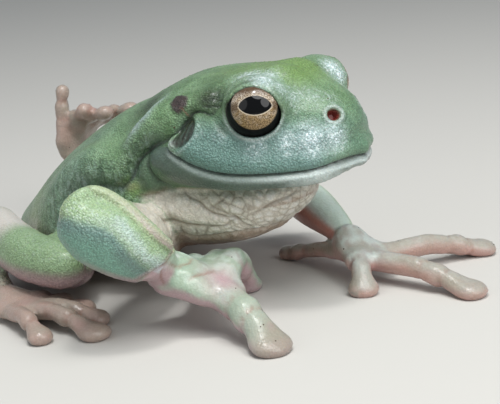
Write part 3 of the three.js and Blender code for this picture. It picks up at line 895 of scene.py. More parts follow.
def sculpt_head(skin):
    sculpt_profile(skin)
    sculpt_mouth(skin)
    # The neck crease, with painted shade along it that is darkest in its middle and softer lower
    # down.
    skin.fold(NECK_CREASE, 1.7, 0.8, dark=1.0)
    distance, along, _ = skin.off(NECK_CREASE)
    deep = ramp(along, 0.35, 0.5) * ramp(-along, -0.98, -0.9)
    skin.paint("dark", 0.9 * hump(distance, 0.4) * deep)
    skin.paint("fold", 0.5 * hump(distance, 1.0) * ramp(along, 0.5, 0.7))
    skin.fold(LOBE_CREASE, 0.8, 0.5, dark=0.7)
    skin.fold(ROLL_EDGE, 1.0, 0.8, dark=0.6)
    skin.groove(BEHIND_EYE, 0.4, 0.7, dark=0.35, tone="fold")
    skin.ridge(ROLL_CREST, 0.6, 1.5)
    # Painted shade on the side of the neck's roll that faces the crease.
    distance, _, over = skin.off(NECK_CREASE[5:])
    skin.paint("temple", 0.5 * hump(distance * over - 1.4, 1.2) * ramp(-skin.q[:, 0], 20.0, 24.0))
    # A painted sheen along the crest of the neck's roll.
    crest, along, _ = skin.off(ROLL_CREST)
    crest = hump(crest, 1.0) * fading(along, 0.02)
    skin.paint("silver", 0.8 * crest * (0.65 + 0.35 * drift(skin.q, 0.7, 33)))
    for line in TEMPLE_CREASES:
        skin.fold(line, 0.45, 0.4, dark=0.6)
    skin.groove(SNOUT_VALLEY, 0.25, 1.2)
    skin.groove(SNOUT_LEDGE, 0.3, 0.6)
    skin.ridge(SNOUT_PAD, 0.3, 1.6)
    sculpt_ear(skin)
    sculpt_nostrils(skin)
    sculpt_lids(skin)
    lobe, _, _ = skin.off(np.array(JAW_LOBE)[:, :3])
    crease, _, under = skin.off(NECK_CREASE)
    lobe = (1 - ramp(lobe, 2.4, 3.2)) * ramp(-crease * under, 0.0, 0.3)
    lobe = lobe * ramp(skin.q[:, 2], 21.0, 22.0)
    skin.paint("lime", 0.9 * skin.spot((-27.3, -16.5, 22.3), 1.6))
    skin.paint("jaw", 0.6 * lobe * (1 - skin.mask["lime"]))
    for middle in ((-19.9, -16.5, 24.4), (-21.6, -15.3, 30.1), (-21.2, -17.0, 25.8)):
        skin.paint("jaw", 0.8 * skin.spot(middle, 2.3))
    # Painted shade at each of the SHADED spots.
    for middle, width, amount in SHADED:
        skin.paint("temple", amount * skin.spot(middle, width))


def sculpt_scab(skin):
    """A dark healed scrape above the right ear drum only."""
    middle = settle(skin.block, np.array([SCAB["middle"]]))[0]
    d = np.linalg.norm(skin.p - middle, axis=1) + 0.35 * drift(skin.p, 0.9, 3)
    r = SCAB["radius"]
    scab = 1 - ramp(d, r * 0.85, r * 1.05)
    skin.lift += scab * (0.22 + 0.15 * drift(skin.p, 0.6, 4)) - 0.1 * hump(d - 1.25 * r, 0.25)
    skin.paint("scab", scab * (0.95 + 0.05 * drift(skin.p, 0.4, 5)))
    trail, _, _ = skin.off(SCAB_TRAIL, both=False)
    skin.lift += 0.15 * hump(trail, 0.2)
    skin.paint("joint", 0.45 * (1 - ramp(trail, 0.1, 0.3)))


# ---------------------------------------------------------------- skin: throat, flank and limbs
# The main creases of chest and throat, from the shoulder forwards.
THROAT_FOLDS = [
    [[-22.6, -23.0, 22.0], [-21.4, -21.6, 20.8], [-20.9, -18.8, 18.6], [-19.9, -16.5, 16.7],
     [-17.8, -15.7, 15.9], [-15.0, -14.9, 15.6], [-12.6, -13.7, 15.4], [-10.2, -12.9, 15.4],
     [-8.5, -12.5, 16.4], [-7.4, -11.9, 17.2]],
    [[-27.2, -16.4, 20.2], [-24.6, -16.1, 20.8], [-22.2, -15.6, 21.1], [-21.2, -14.8, 21.8]],
    [[-18.4, -13.8, 22.0], [-16.4, -14.3, 20.9], [-14.4, -14.4, 20.2], [-13.2, -14.3, 19.0],
     [-11.7, -14.2, 18.1], [-9.7, -13.4, 17.3], [-8.0, -12.2, 16.7], [-7.2, -10.7, 15.3],
     [-6.8, -8.9, 14.4]],
    [[-19.6, -16.4, 12.9], [-16.6, -13.2, 12.5], [-13.2, -12.1, 13.1], [-9.6, -10.6, 13.7],
     [-6.7, -7.2, 13.4], [-5.4, -4.9, 13.5], [-4.9, -1.3, 13.4], [-5.0, 2.7, 13.5]],
]
# Thin dark lines that cross them.
THROAT_LINES = [
    [[-12.7, -14.0, 19.9], [-11.3, -13.8, 19.0], [-10.1, -13.6, 18.5], [-8.8, -13.0, 17.5],
     [-7.6, -12.2, 16.8]],
    [[-9.2, -12.2, 21.8], [-10.1, -13.1, 20.7], [-11.3, -13.8, 19.7], [-12.9, -14.3, 18.8]],
    [[0.4, -2.9, 21.4], [-0.6, -3.6, 20.4], [-1.0, -5.3, 19.9], [-2.1, -7.3, 19.6],
     [-3.0, -8.8, 19.1], [-4.2, -9.9, 18.3], [-5.3, -10.9, 17.7], [-6.4, -11.6, 17.3]],
    [[-21.2, -18.6, 18.0], [-20.6, -18.6, 16.8], [-20.2, -18.4, 15.0]],
    [[-20.4, -17.0, 16.8], [-19.8, -17.0, 15.2], [-19.2, -17.2, 13.8]],
    [[-18.3, -15.4, 15.4], [-18.5, -14.9, 14.4], [-18.9, -13.8, 13.0]],
    [[-15.6, -14.6, 15.2], [-15.8, -14.0, 13.9], [-16.8, -13.1, 12.6]],
    [[-13.3, -13.9, 15.3], [-13.8, -13.6, 14.6], [-15.2, -12.6, 12.9]],
]
# The pale roll of chest skin above the longest crease.
CHEST_ROLL = [
    [-26.0, -17.0, 20.2], [-23.5, -17.4, 19.6], [-21.2, -16.9, 18.6], [-19.2, -16.2, 17.8],
    [-17.0, -15.6, 16.9], [-14.6, -14.9, 16.5], [-12.4, -14.0, 16.4],
]
FOLD_WAY = (0.84, 0.0, -0.54)  # the way the throat's folds run
FOLD_RISE = (0.54, 0.0, 0.84)  # across them
# Sizes of the throat's plates in mm; they get shorter towards the chin.
PLATE = {"long": 3.6, "wide": 2.4, "tall": 1.5, "shrinks_over": 36.0}


def sculpt_throat(skin):
    """Long soft folds over the chest and throat, cut into small soft plates by thin lines."""
    p, q, n = skin.p, skin.q, skin.n
    chest = skin.share(["throat"], 0.5)
    front = np.maximum(ramp(skin.m[:, 0], -0.3, 0.2), ramp(-skin.m[:, 2], 0.2, 0.7))
    chest = np.maximum(chest, skin.share(named("upper_arm"), 0.6) * front)
    gap = (1 - ramp(-q[:, 0], 24.5, 27.0)) * (1 - ramp(q[:, 2], 20.2, 21.8))
    chest = np.maximum(chest, gap * skin.share(["trunk", "lower_jaw"], 0.6))
    belly = skin.share(["trunk"], 0.6) * ramp(-n[:, 2], 0.1, 0.55)
    clear = 1 - skin.mask["jaw"]
    clear = clear * (1 - ramp(q[:, 2] - 0.12 * q[:, 0], 24.0, 25.5)) * (1 - skin.mask["lime"])
    area = np.clip(np.maximum(chest * clear, belly), 0, 1)
    skin.paint("cream", area)
    band, _, _ = skin.off(np.array(JAW_BAND)[:, :3])
    lower, _, under = skin.off(THROAT_FOLDS[3])
    beneath = ramp(lower * under, -0.8, 1.2) * ramp(-n[:, 2], -0.1, 0.5)
    bare = 0.25 + 0.75 * ramp(q[:, 0], -42, -28)
    low = (1 - ramp(p[:, 2], 9.5, 13.5)) * ramp(-n[:, 2], 0.0, 0.6)
    # The underside in brownish pink, dark as painted shade: belly, lower chest and below the lowest
    # fold.
    skin.paint("raw", np.maximum(belly * bare, chest * clear * low))
    skin.paint("raw", 0.6 * area * beneath)
    # Painted shade in olive on the throat under the jaw.
    olive = area * (1 - ramp(band, 2.8, 6.0)) * ramp(p[:, 2], 16, 20)
    skin.paint("olive", 0.8 * olive)
    # Painted shade along the folds' creases, in the tone of the thin lines that cross them.
    for line in THROAT_FOLDS:
        skin.fold(line, 0.9, 0.8, dark=0.8, tone="line")
    for line in THROAT_LINES:
        skin.fold(line, 0.4, 0.5, dark=0.7, tone="line")
    skin.ridge(CHEST_ROLL, 0.4, 1.3)
    span = PLATE["shrinks_over"]
    lengthwise = span / PLATE["long"] * np.exp((p[:, 0] + 29) / span)
    lengthwise = lengthwise + 0.3 * p @ np.array(FOLD_WAY) / PLATE["long"]
    rise = (p @ np.array(FOLD_RISE) + 0.5 * drift(p, 4, 12)) / PLATE["tall"]
    grid = np.stack([lengthwise + 0.3 * drift(p, 3, 11), p[:, 1] / PLATE["wide"], rise], -1)
    edge, tone = cells(grid, 5)
    front = ramp(p[:, 0], -16, -8)
    strength = area * (1 - 0.75 * belly) * (0.45 + 0.55 * front)
    skin.lift += (0.2 * ramp(edge, 0.0, 0.6) - 0.14 + 0.1 * (tone - 0.5)) * strength
    faint = ramp(drift(p, 3.5, 14), -0.9, 0.5)
    skin.paint("line", (1 - ramp(edge, 0.0, 0.12)) * strength * (0.25 + 0.45 * faint))
    whitish = area * (0.35 + 0.65 * front) * (0.35 + 0.65 * tone) * (1 - belly) * (1 - 0.75 * olive)
    skin.paint("scale", ramp(edge, 0.1, 0.5) * whitish)
    skin.paint("smooth", 0.6 * area)


WRINKLE = {"wide": 1.1, "long": 2.6, "depth": 0.16}  # mm


def sculpt_flank(skin):
    """Where the loose skin of neck and flank is pushed together it takes close upright wrinkles."""
    p, q = skin.p, skin.q
    side = ramp(-skin.m[:, 1], 0.2, 0.7) * skin.share(["trunk", "head", "lower_jaw"])
    roll, _, _ = skin.off(ROLL_EDGE)
    neck, _, over = skin.off(NECK_CREASE[5:])
    behind = ramp(-q[:, 0], 21.0, 24.0) * ramp(over * neck, 0.0, 0.4)
    close = np.maximum(1 - ramp(roll, 2, 8.0), (1 - ramp(neck, 2.0, 4.2)) * behind)
    amount = side * np.maximum(close, 0.6 * ramp(-q[:, 0], 32, 40)) * (1 - skin.mask["cream"])
    amount = amount * (1 - skin.mask["lime"])
    skin.paint("wrinkle", amount)
    skin.paint("wrinkle", 0.4 * skin.spot((-10.4, -12.0, 39.0), 1.8))
    skin.paint("cheek", 0.15 * amount * ramp(-q[:, 0], 26, 34))
    skin.paint("lime", 0.3 * skin.spot((-56.5, -12.5, 13.0), 6.0))
    # A faint painted sheen on the flank.
    skin.paint("silver", 0.15 * side * hump(-q[:, 0] - 42, 8) * (1 - skin.mask["cream"]))
    upright, long = (p[:, 0] + p[:, 2] * 0.3) / WRINKLE["wide"], WRINKLE["long"]
    squeezed = np.stack([upright, p[:, 1] / long, p[:, 2] / long], -1)
    edge, _ = cells(squeezed + 0.35 * drift(p, 2.0, 21)[:, None], 8)
    skin.lift -= WRINKLE["depth"] * (1 - ramp(edge, 0.0, 0.4)) * amount


FOREARM_FOLD = [
    [-21.6, -42.4, 25.2], [-20.9, -40.9, 26.9], [-19.7, -38.9, 27.9], [-17.8, -36.9, 27.5],
    [-15.7, -35.5, 25.8], [-13.4, -34.6, 23.3], [-11.6, -34.0, 21.3], [-10.1, -32.8, 19.3],
    [-9.5, -31.0, 17.4], [-9.6, -29.6, 16.2],
]
SLEEVE_EDGE = [
    [-14.6, -35.6, 11.8], [-13.3, -35.4, 12.2], [-12.1, -35.2, 12.7], [-10.9, -34.3, 13.4],
    [-9.8, -32.7, 14.1], [-9.5, -31.1, 14.6], [-9.6, -29.6, 15.4], [-9.9, -28.7, 16.2],
]
SLEEVE_END = {"middle": (-10.5, -32.0, 14.3), "out": (0.54, 0.20, -0.82)}
FOREARM_SHADE = [
    [-22.6, -41.0, 24.6], [-21.6, -42.6, 24.4], [-18.5, -42.9, 24.5], [-15.5, -41.5, 23.3],
    [-13.9, -39.9, 22.4], [-12.6, -39.1, 20.6], [-11.8, -38.3, 18.4], [-11.2, -36.8, 15.9],
    [-10.8, -34.5, 14.2],
]
WRIST_CREASES = [
    [[-9.7, -31.8, 13.5], [-10.3, -31.8, 12.6], [-11.4, -30.8, 11.0], [-12.4, -29.0, 9.6]],
    [[-9.5, -30.1, 14.2], [-9.7, -29.1, 13.4], [-10.1, -26.4, 12.3], [-9.9, -24.9, 12.3],
     [-11.0, -22.8, 12.2]],
    [[-8.2, -27.8, 10.5], [-7.6, -26.3, 10.8], [-7.3, -24.1, 10.4], [-7.6, -21.3, 9.8]],
]


def sculpt_forearm(skin):
    """The edge of the upper arm's skin along the forearm, its end at the wrist, its colours and its
    painted sheen.
    """
    arm = skin.share(named("forearm"), 1.0)
    right = (skin.p[:, 1] < 0).astype(float)
    fold, along, under = skin.off(FOREARM_FOLD, both=False)
    fade = fading(along)
    skin.paint("edge", 0.5 * ramp(-under * fold, -0.55, -0.25) * (1 - ramp(fold, 1.0, 2.0)) * fade)
    skin.paint("blush", 0.65 * hump(fold, 1.2) * ramp(along, 0.3, 0.7) * (under < 0))
    skin.lift -= 0.3 * hump(under * fold - 0.6, 0.25) * fade
    skin.paint("line", 0.55 * hump(under * fold - 0.6, 0.16) * fade)
    edge, along, _ = skin.off(SLEEVE_EDGE, both=False)
    fade = fading(along)
    out = (skin.p - np.array(SLEEVE_END["middle"])) @ np.array(SLEEVE_END["out"])
    near = (np.linalg.norm(skin.p - np.array(SLEEVE_END["middle"]), axis=1) < 9) * right
    beyond = ramp(out, -0.3, 0.5) * near
    skin.lift -= 0.7 * hump(edge, 0.4) * fade
    skin.lift -= 0.35 * ramp(out, -0.2, 0.6) * (1 - ramp(out, 1.5, 4.0)) * near
    skin.paint("joint", 0.9 * hump(edge, 0.24) * fade)
    skin.paint("smooth", skin.mask["edge"])
    skin.paint("blush", 0.7 * hump(edge - 0.8, 0.5) * (1 - beyond) * fade)
    skin.mask["beyond"] = beyond
    shade, _, under = skin.off(FOREARM_SHADE, both=False, reach=22)
    lateral = ramp(-skin.m[:, 1], -0.45, 0.05)
    high = ramp(-skin.p[:, 2], -25.5, -22.5)
    below = shade * under + 0.5 * drift(skin.p, 1.5, 42)
    skin.paint("teal", arm * ramp(below, -0.7, 1.2) * lateral * (1 - beyond) * right)
    skin.paint("slate", 0.75 * arm * hump(below - 1.0, 1.5) * lateral * (1 - beyond) * right)
    # A painted sheen and painted highlights along the forearm's ridge.
    skin.paint("silver", 0.5 * arm * hump(below + 1.9, 1.1) * lateral * right * high)
    skin.paint("glint", 0.3 * arm * hump(below + 1.7, 2.0) * lateral * right)
    skin.mask["soil"] = 0.7 * hump(edge - 0.3, 0.5) * fade * beyond
    for line in WRIST_CREASES:
        skin.fold(line, 0.4, 0.35, dark=0.6, both=False, tone="joint")


DIGIT_CREASES = ((0.0, 0.3), (4.2, 0.2))  # mm behind the disc's edge, and depth


def sculpt_joints(skin):
    """A fine reddish crease where each disc begins and at the joint behind it."""
    for palm in PALMS:
        for digit in digits_of(palm):
            offset = skin.p - digit.tip
            back = -(offset @ digit.level) + 0.25 * drift(skin.p, 1.2, 41)
            close = (skin.away[digit.solid] < 1.8) * (np.linalg.norm(offset, axis=1) < 12)
            first = 1.55 * digit.half + 0.6
            for behind, depth in DIGIT_CREASES:
                place = first + behind
                line = hump(back - place, 0.28) * close
                skin.lift -= depth * line
                skin.paint("joint", 2.2 * depth * line * (0.55 + 0.45 * drift(skin.p, 1.4, 43)))
                skin.paint("blush", 0.35 * hump(back - place, 1.1) * close)
            skin.lift += 0.3 * hump(back - first - 1.7, 1.1) * close
            skin.paint("blush", 0.7 * hump(back + 0.4, 0.8) * close)


def paint_limbs(skin):
    """Green above, pink and cream on the inner sides and beneath, as the thin skin shows there."""
    n, m, p, q = skin.n, skin.m, skin.p, skin.q
    arms = skin.share(named("forearm", "upper_arm"))
    legs = skin.share(named("thigh", "shank", "tarsus"))
    hands = np.maximum(skin.share(named("hand", "finger")), skin.mask["beyond"])
    feet = skin.share(named("foot", "toe"))
    right = (p[:, 1] < 0).astype(float)
    left = 1 - right
    arms = arms * (1 - skin.mask["beyond"])
    skin.paint("limb", (0.95 * arms + 0.6 * legs) * ramp(n[:, 2], -0.5, 0.2))
    skin.paint("hand", np.maximum(hands, feet))
    mottle = 0.5 + 0.5 * drift(p, 2.4, 51)
    fine = 0.5 + 0.5 * drift(p, 0.9, 52)
    inner = ramp(m[:, 1], 0.05, 0.6)
    under = ramp(-n[:, 2], -0.15, 0.5)
    hidden = np.maximum(under, inner * (1 - ramp(n[:, 2], 0.55, 0.85)))
    skin.paint("blush", (arms * left + legs) * hidden)
    skin.paint("blush", arms * right * ramp(-n[:, 2], 0.6, 0.95))
    web = skin.spot((-4.8, -22.4, 8.8), 4.4, both=False)
    lower = 1 - ramp(p[:, 2], 1.0, 3.4)
    skin.paint("blush", hands * np.maximum(under, web))
    skin.paint("blush", hands * left * (0.3 + 0.5 * mottle + 0.2 * lower))
    patchy = 0.55 * ramp(mottle, 0.5, 0.8) + 0.3 * ramp(q[:, 0], -6, 6) + 0.4 * lower
    skin.paint("blush", hands * right * patchy)
    skin.paint("blush", feet * (0.45 + 0.5 * mottle))
    # A whitish bloom, laid on upward faces as painted light: on the hands and the top of the left
    # arm.
    palm = 1 - ramp(q[:, 0], -4.0, 0.0) * right
    bloom = ramp(n[:, 2], 0.1, 0.8) * ramp(fine * mottle, 0.1, 0.4)
    skin.paint("milk", 0.7 * hands * bloom * palm * (1 - web))
    skin.paint("milk", 0.8 * arms * left * ramp(n[:, 2], 0.0, 0.5) * ramp(m[:, 1], -0.6, -0.1))
    knee = 1 - ramp(np.linalg.norm(p - (-57.0, -20.0, 14.5), axis=1) + drift(p, 3.0, 53), 3.0, 11.0)
    knee = knee * skin.share(named("thigh_right", "shank_right", "tarsus_right"))
    skin.paint("blush", 0.7 * knee)
    # The whitish bloom with painted light on top of the heel.
    skin.paint("milk", 0.75 * knee * ramp(n[:, 2], -0.2, 0.5))
    ankles = skin.share(named("tarsus")) * (0.3 + 0.4 * mottle)
    skin.paint("blush", ankles)
    thin = ramp(m[:, 1], -0.2, 0.3) * (1 - ramp(n[:, 2], 0.2, 0.6))
    skin.paint("flesh", arms * left * thin * (0.75 + 0.25 * mottle))
    skin.paint("flesh", 0.2 * feet * mottle + 0.2 * knee)
    # Painted shade on the far fingers, fading out near the left hand's knuckles.
    knuckles = np.linalg.norm(p - (5.8, 7.2, 6.7), axis=1)
    far_finger_shade = skin.share(named("finger_left")) * (0.4 + 0.45 * fine) * ramp(knuckles, 2.0, 8.0)
    skin.paint("tip", far_finger_shade)
    skin.paint("flesh", 0.45 * hands * left * ramp(-n[:, 2], -0.8, 0.2) * (0.3 + 0.7 * mottle))
    skin.paint("tip", 0.7 * skin.share(["finger_right_4"]) * ramp(q[:, 0], 4, 8))
    skin.paint("tip", 0.7 * feet)
    skin.paint("smooth", np.maximum(np.maximum(hands, feet), np.maximum(arms * left, knee)))


def paint_body(skin):
    """The head's sides are bluish, its crown yellowish, and what faces the sky has painted
    highlights.
    """
    n, q = skin.n, skin.q
    head = skin.share(["head", "lower_jaw"], 1.5)
    cheek = head * (1 - ramp(q[:, 2], 32, 38)) * ramp(q[:, 0], -19, -14)
    skin.paint("cheek", 0.9 * cheek * (1 - 0.6 * ramp(q[:, 0], 7, 11)))
    crown = head * ramp(n[:, 2], 0.72, 0.95) * ramp(q[:, 0], -20, -6) * (1 - ramp(q[:, 0], 1, 6))
    skin.paint("crown", 0.75 * crown * (1 - ramp(-q[:, 1], 5, 8)))
    glint, silver = np.zeros(len(q)), np.zeros(len(q))
    # Painted highlights and a painted sheen at each glint spot.
    for middle, width, sheen in GLINTS:
        spot = skin.spot(middle, width, both=False)
        glint = np.maximum(glint, spot * min(1.0, 0.15 + 1.3 * sheen))
        silver = np.maximum(silver, sheen * spot)
    clear = (1 - skin.mask["rim"]) * (1 - skin.mask["nostril"])
    skin.paint("glint", glint * clear)
    skin.paint("silver", silver * clear)
    # A faint painted highlight on the upward faces of forearms and shanks.
    arm = skin.share(named("forearm", "shank"))
    skin.paint("glint", 0.1 * arm * ramp(n[:, 2], 0.0, 0.6) * (1 - skin.mask["cream"]))
    skin.paint("smooth", np.maximum(skin.mask["jaw"] * 0.7, skin.mask["drum"]))
    bumpy = clear
    for name in ("smooth", "wrinkle", "cream", "jaw", "edge"):
        bumpy = bumpy * (1 - skin.mask[name])
    arm = skin.share(named("forearm")) * ramp(-skin.p[:, 1], 0, 1)
    skin.paint("granular", bumpy * np.maximum(0.7 * glint, np.maximum(0.45 * arm, 0.12 * head)))
    soil = 0.35 * skin.share(named("finger", "toe")) + 0.15 * skin.share(named("hand", "foot"))
    patchy = ramp(drift(skin.p, 2.2, 61), 0.1, 0.6)
    upper = ramp(n[:, 2], -0.3, 0.3) * ramp(skin.p[:, 2], 0.3, 0.8)
    skin.paint("soil", (soil * patchy + 0.02 * head) * upper)


# Painted highlights where the skin glints: over the brows, on the snout, and on the pad below the
# eye. The last number is how strong the painted sheen over the whole spot is.
RIGHT_GLINTS = [
    ((-1.3, -11.4, 42.0), 2.4, 0.6),
    ((-3.0, -7.4, 42.4), 2.3, 0.55),
    ((-6.8, -7.4, 42.0), 2.2, 0.65),
    ((0.9, -9.4, 40.6), 2.2, 0.4),
    ((2.2, -8.0, 38.6), 2.2, 0.3),
    ((4.6, -5.4, 38.4), 2.2, 0.2),
    ((7.4, -3.6, 38.2), 1.8, 0.12),
    ((3.6, -12.0, 31.6), 2.2, 0.4),
    ((6.8, -9.6, 31.8), 2.5, 0.65),
    ((9.6, -6.4, 31.8), 2.2, 0.65),
    ((-1.4, -14.4, 31.0), 2.0, 0.3),
    ((-8.0, -16.2, 33.0), 1.5, 0.08),
    ((-12.4, -16.8, 34.0), 1.3, 0.08),
]
LEFT_GLINTS = [
    ((0.8, 8.8, 40.6), 1.9, 0.75),
    ((2.0, 9.2, 39.4), 1.7, 0.75),
    ((4.2, 6.6, 38.6), 2.0, 0.5),
    ((6.8, 9.6, 31.8), 2.6, 0.6),
    ((3.6, 12.0, 31.6), 2.4, 0.4),
]
GLINTS = RIGHT_GLINTS + LEFT_GLINTS


# ---------------------------------------------------------------- colours and nodes
def linear(hex_colour):
    """An sRGB hex colour as the linear values that a shader uses."""
    out = []
    for k in (0, 2, 4):
        c = int(hex_colour[k : k + 2], 16) / 255
        out.append(c / 12.92 if c <= 0.04045 else ((c + 0.055) / 1.055) ** 2.4)
    return (*out, 1.0)


def node(tree, kind, links=(), **settings):
    """Adds a node with its settings, then its inputs: (input, value or another node's output)."""
    made = tree.nodes.new(kind)
    for name, value in settings.items():
        setattr(made, name, value)
    for name, value in links:
        socket = made.inputs[name]
        if isinstance(value, bpy.types.NodeSocket):
            tree.links.new(value, socket)
        else:
            socket.default_value = value
    return made


def new_material(name):
    """An empty material and its node tree."""
    material = bpy.data.materials.new(name)
    material.use_nodes = True
    material.node_tree.nodes.clear()
    return material, material.node_tree


def place_on(tree):
    """The place of each point of a piece."""
    return node(tree, "ShaderNodeTexCoord").outputs["Object"]


def maths(tree, operation, *values):
    """The result of one step of arithmetic on numbers and other nodes' outputs."""
    return node(tree, "ShaderNodeMath", list(enumerate(values)), operation=operation).outputs[0]


def noise(tree, place, scale, detail, **more):
    """Smooth noise from 0 to 1; its further inputs go by their own names."""
    links = [("Vector", place), ("Scale", scale), ("Detail", detail), *more.items()]
    return node(tree, "ShaderNodeTexNoise", links).outputs["Fac"]


def surface(tree, colour, **inputs):
    """Ends a material with its shader, whose inputs are named with _ in place of spaces."""
    links = [(name.replace("_", " "), value) for name, value in inputs.items()]
    shader = node(tree, "ShaderNodeBsdfPrincipled", [("Base Color", colour), *links])
    node(tree, "ShaderNodeOutputMaterial", [("Surface", shader.outputs["BSDF"])])


def mask_of(tree, name, times=1.0):
    """How strongly a finish lies on each point, as the skin's own attribute says."""
    made = node(tree, "ShaderNodeAttribute", attribute_name=name, attribute_type="GEOMETRY")
    mask = made.outputs["Fac"]
    if times == 1.0:
        return mask
    return maths(tree, "MULTIPLY", mask, times)


def mixed(tree, share, first, second, blend_type="MIX"):
    """Two colours mixed by a share of the second."""
    links = [(0, share), (6, first), (7, second)]
    made = node(tree, "ShaderNodeMix", links, data_type="RGBA", blend_type=blend_type)
    return made.outputs[2]


def between(tree, value, low, high, start=0.0, end=1.0):
    """A value's place between two others, as a number from start to end."""
    links = [("Value", value), ("From Min", low), ("From Max", high)]
    links += [("To Min", start), ("To Max", end)]
    return node(tree, "ShaderNodeMapRange", links).outputs["Result"]


# ---------------------------------------------------------------- materials
# The skin's tones, each laid over the ones before it.
TONE_ORDER = (
    "cheek", "crown", "temple", "limb", "teal", "slate", "lime", "hand", "cream", "olive", "scale",
    "edge", "blush", "milk", "tip", "flesh", "raw", "jaw", "lip", "silver", "drum", "scab",
)


# Laid over all other tones: painted shade (fold, dark) and thin lines, joints, nostrils, lid rims.
CREASE_TONES = {"line": 0.8, "joint": 1.0, "fold": 1.0, "dark": 1.0, "nostril": 1.0, "rim": 1.0}


def skin_colour(tree, place, tones):
    """The colour of the skin at a place, before its granules and creases."""
    # Blotches about 4 mm wide drift between two greens.
    blotch = between(tree, noise(tree, place, 240.0, 4.0, Roughness=0.65), 0.35, 0.65)
    colour = mixed(tree, blotch, tones["back_dark"], tones["back_light"])
    for name in TONE_ORDER:
        colour = mixed(tree, mask_of(tree, name), colour, tones[name])
    return colour


def skin_material(tones):
    """Living frog skin: moist and granular, so that its highlights break into small points."""
    material, tree = new_material("moist granular frog skin")
    place = place_on(tree)
    colour = skin_colour(tree, place, tones)
    rough = between(tree, mask_of(tree, "smooth"), 0.0, 1.0, 1.0, 0.25)
    # Mottling about 0.6 mm wide, and granules about 0.35 mm wide with a painted highlight on their
    # tops and painted shade between them.
    mottle = between(tree, noise(tree, place, 1500.0, 3.0, Roughness=0.7), 0.3, 0.7, 0.88, 1.12)
    links = [("Vector", place), ("Scale", 2700.0), ("Randomness", 1.0)]
    granule = node(tree, "ShaderNodeTexVoronoi", links, feature="F1").outputs["Distance"]
    shade = maths(tree, "MULTIPLY", mottle, between(tree, granule, 0.15, 0.75, 1.12, 0.76))
    links = [(part, shade) for part in ("Red", "Green", "Blue")]
    grey = node(tree, "ShaderNodeCombineColor", links).outputs["Color"]
    shaded = mixed(tree, 1.0, colour, grey, "MULTIPLY")
    colour = mixed(tree, rough, colour, shaded)
    # Painted highlights where it glints: silvery bent flecks about 0.3 mm wide on the film of
    # moisture.
    fleck = noise(tree, place, 1700.0, 2.0, Roughness=0.6, Distortion=0.8)
    glint = maths(tree, "MULTIPLY", mask_of(tree, "glint"), between(tree, fleck, 0.5, 0.62))
    colour = mixed(tree, glint, colour, tones["glint"])
    for name, strength in CREASE_TONES.items():
        colour = mixed(tree, mask_of(tree, name, strength), colour, tones[name])
    # Upright wrinkles 0.8 mm apart where the loose skin is pushed together, with painted shade in
    # their grooves and a painted sheen on their tops.
    thin = node(tree, "ShaderNodeMapping", [("Vector", place), ("Scale", (1250.0, 640.0, 640.0))])
    wrinkle = noise(tree, thin.outputs["Vector"], 1.0, 2.0)
    sunk, raised = between(tree, wrinkle, 0.5, 0.38), between(tree, wrinkle, 0.52, 0.62)
    crack = maths(tree, "MULTIPLY", mask_of(tree, "wrinkle", 0.6), sunk)
    colour = mixed(tree, crack, colour, tones["fold"])
    wrinkle_highlight = maths(tree, "MULTIPLY", mask_of(tree, "wrinkle", 0.14), raised)
    colour = mixed(tree, wrinkle_highlight, colour, tones["silver"])
    # Height: the granules, softer grain about 1.5 mm wide, and the wrinkles.
    soft = noise(tree, place, 700.0, 2.0)
    grain = maths(tree, "MULTIPLY_ADD", granule, maths(tree, "MULTIPLY", rough, -1.2), soft)
    height = maths(tree, "MULTIPLY_ADD", crack, -2.4, grain)
    links = [("Strength", 0.8), ("Distance", 0.0002), ("Height", height)]
    bump = node(tree, "ShaderNodeBump", links).outputs["Normal"]
    surface(
        tree, colour, Roughness=between(tree, rough, 0.25, 1.0, 0.32, 0.4), IOR=1.4,
        Normal=bump, Subsurface_Weight=0.1, Subsurface_Radius=(0.9, 0.5, 0.3),
        Subsurface_Scale=0.0008, Coat_Weight=0.35, Coat_Roughness=0.2,
    )
    return material


def granule_material(tones):
    """Skin granules: wetter than the skin round them, so that each glints, and with painted
    highlights.
    """
    material, tree = new_material("wet skin granule")
    place = place_on(tree)
    # Painted highlights where the skin glints, varied from granule to granule.
    varied = between(tree, noise(tree, place, 2600.0, 1.0), 0.45, 0.7, 0.1, 0.6)
    pale = maths(tree, "MULTIPLY", varied, mask_of(tree, "glint"))
    colour = mixed(tree, pale, skin_colour(tree, place, tones), tones["glint"])
    surface(tree, colour, Roughness=0.3, IOR=1.4, Coat_Weight=0.4, Coat_Roughness=0.15)
    return material


def soil_material(tones):
    """Dry crumbs of dark soil that cling to the fingers: rough, with no shine."""
    material, tree = new_material("dry soil crumbs")
    varied = between(tree, noise(tree, place_on(tree), 900.0, 1.0), 0.4, 0.6)
    surface(tree, mixed(tree, varied, tones["soil"], tones["soil_pale"]), Roughness=0.95)
    return material


PUPIL_SHIFT = (0.25, -0.4)  # mm, how far the pupil lies from the middle of the eye
IRIS_DROP = 0.25  # mm, how far the iris lies below it


def eye_ring_material(tones):
    """The dark soft tissue round the iris: moist, but too deep between the lids to shine."""
    material, tree = new_material("dark moist eye ring")
    varied = between(tree, noise(tree, place_on(tree), 1200.0, 2.0), 0.5, 0.75)
    colour = mixed(tree, varied, tones["pupil"], tones["rim"])
    surface(tree, colour, Roughness=0.45, Specular_IOR_Level=0.1)
    return material


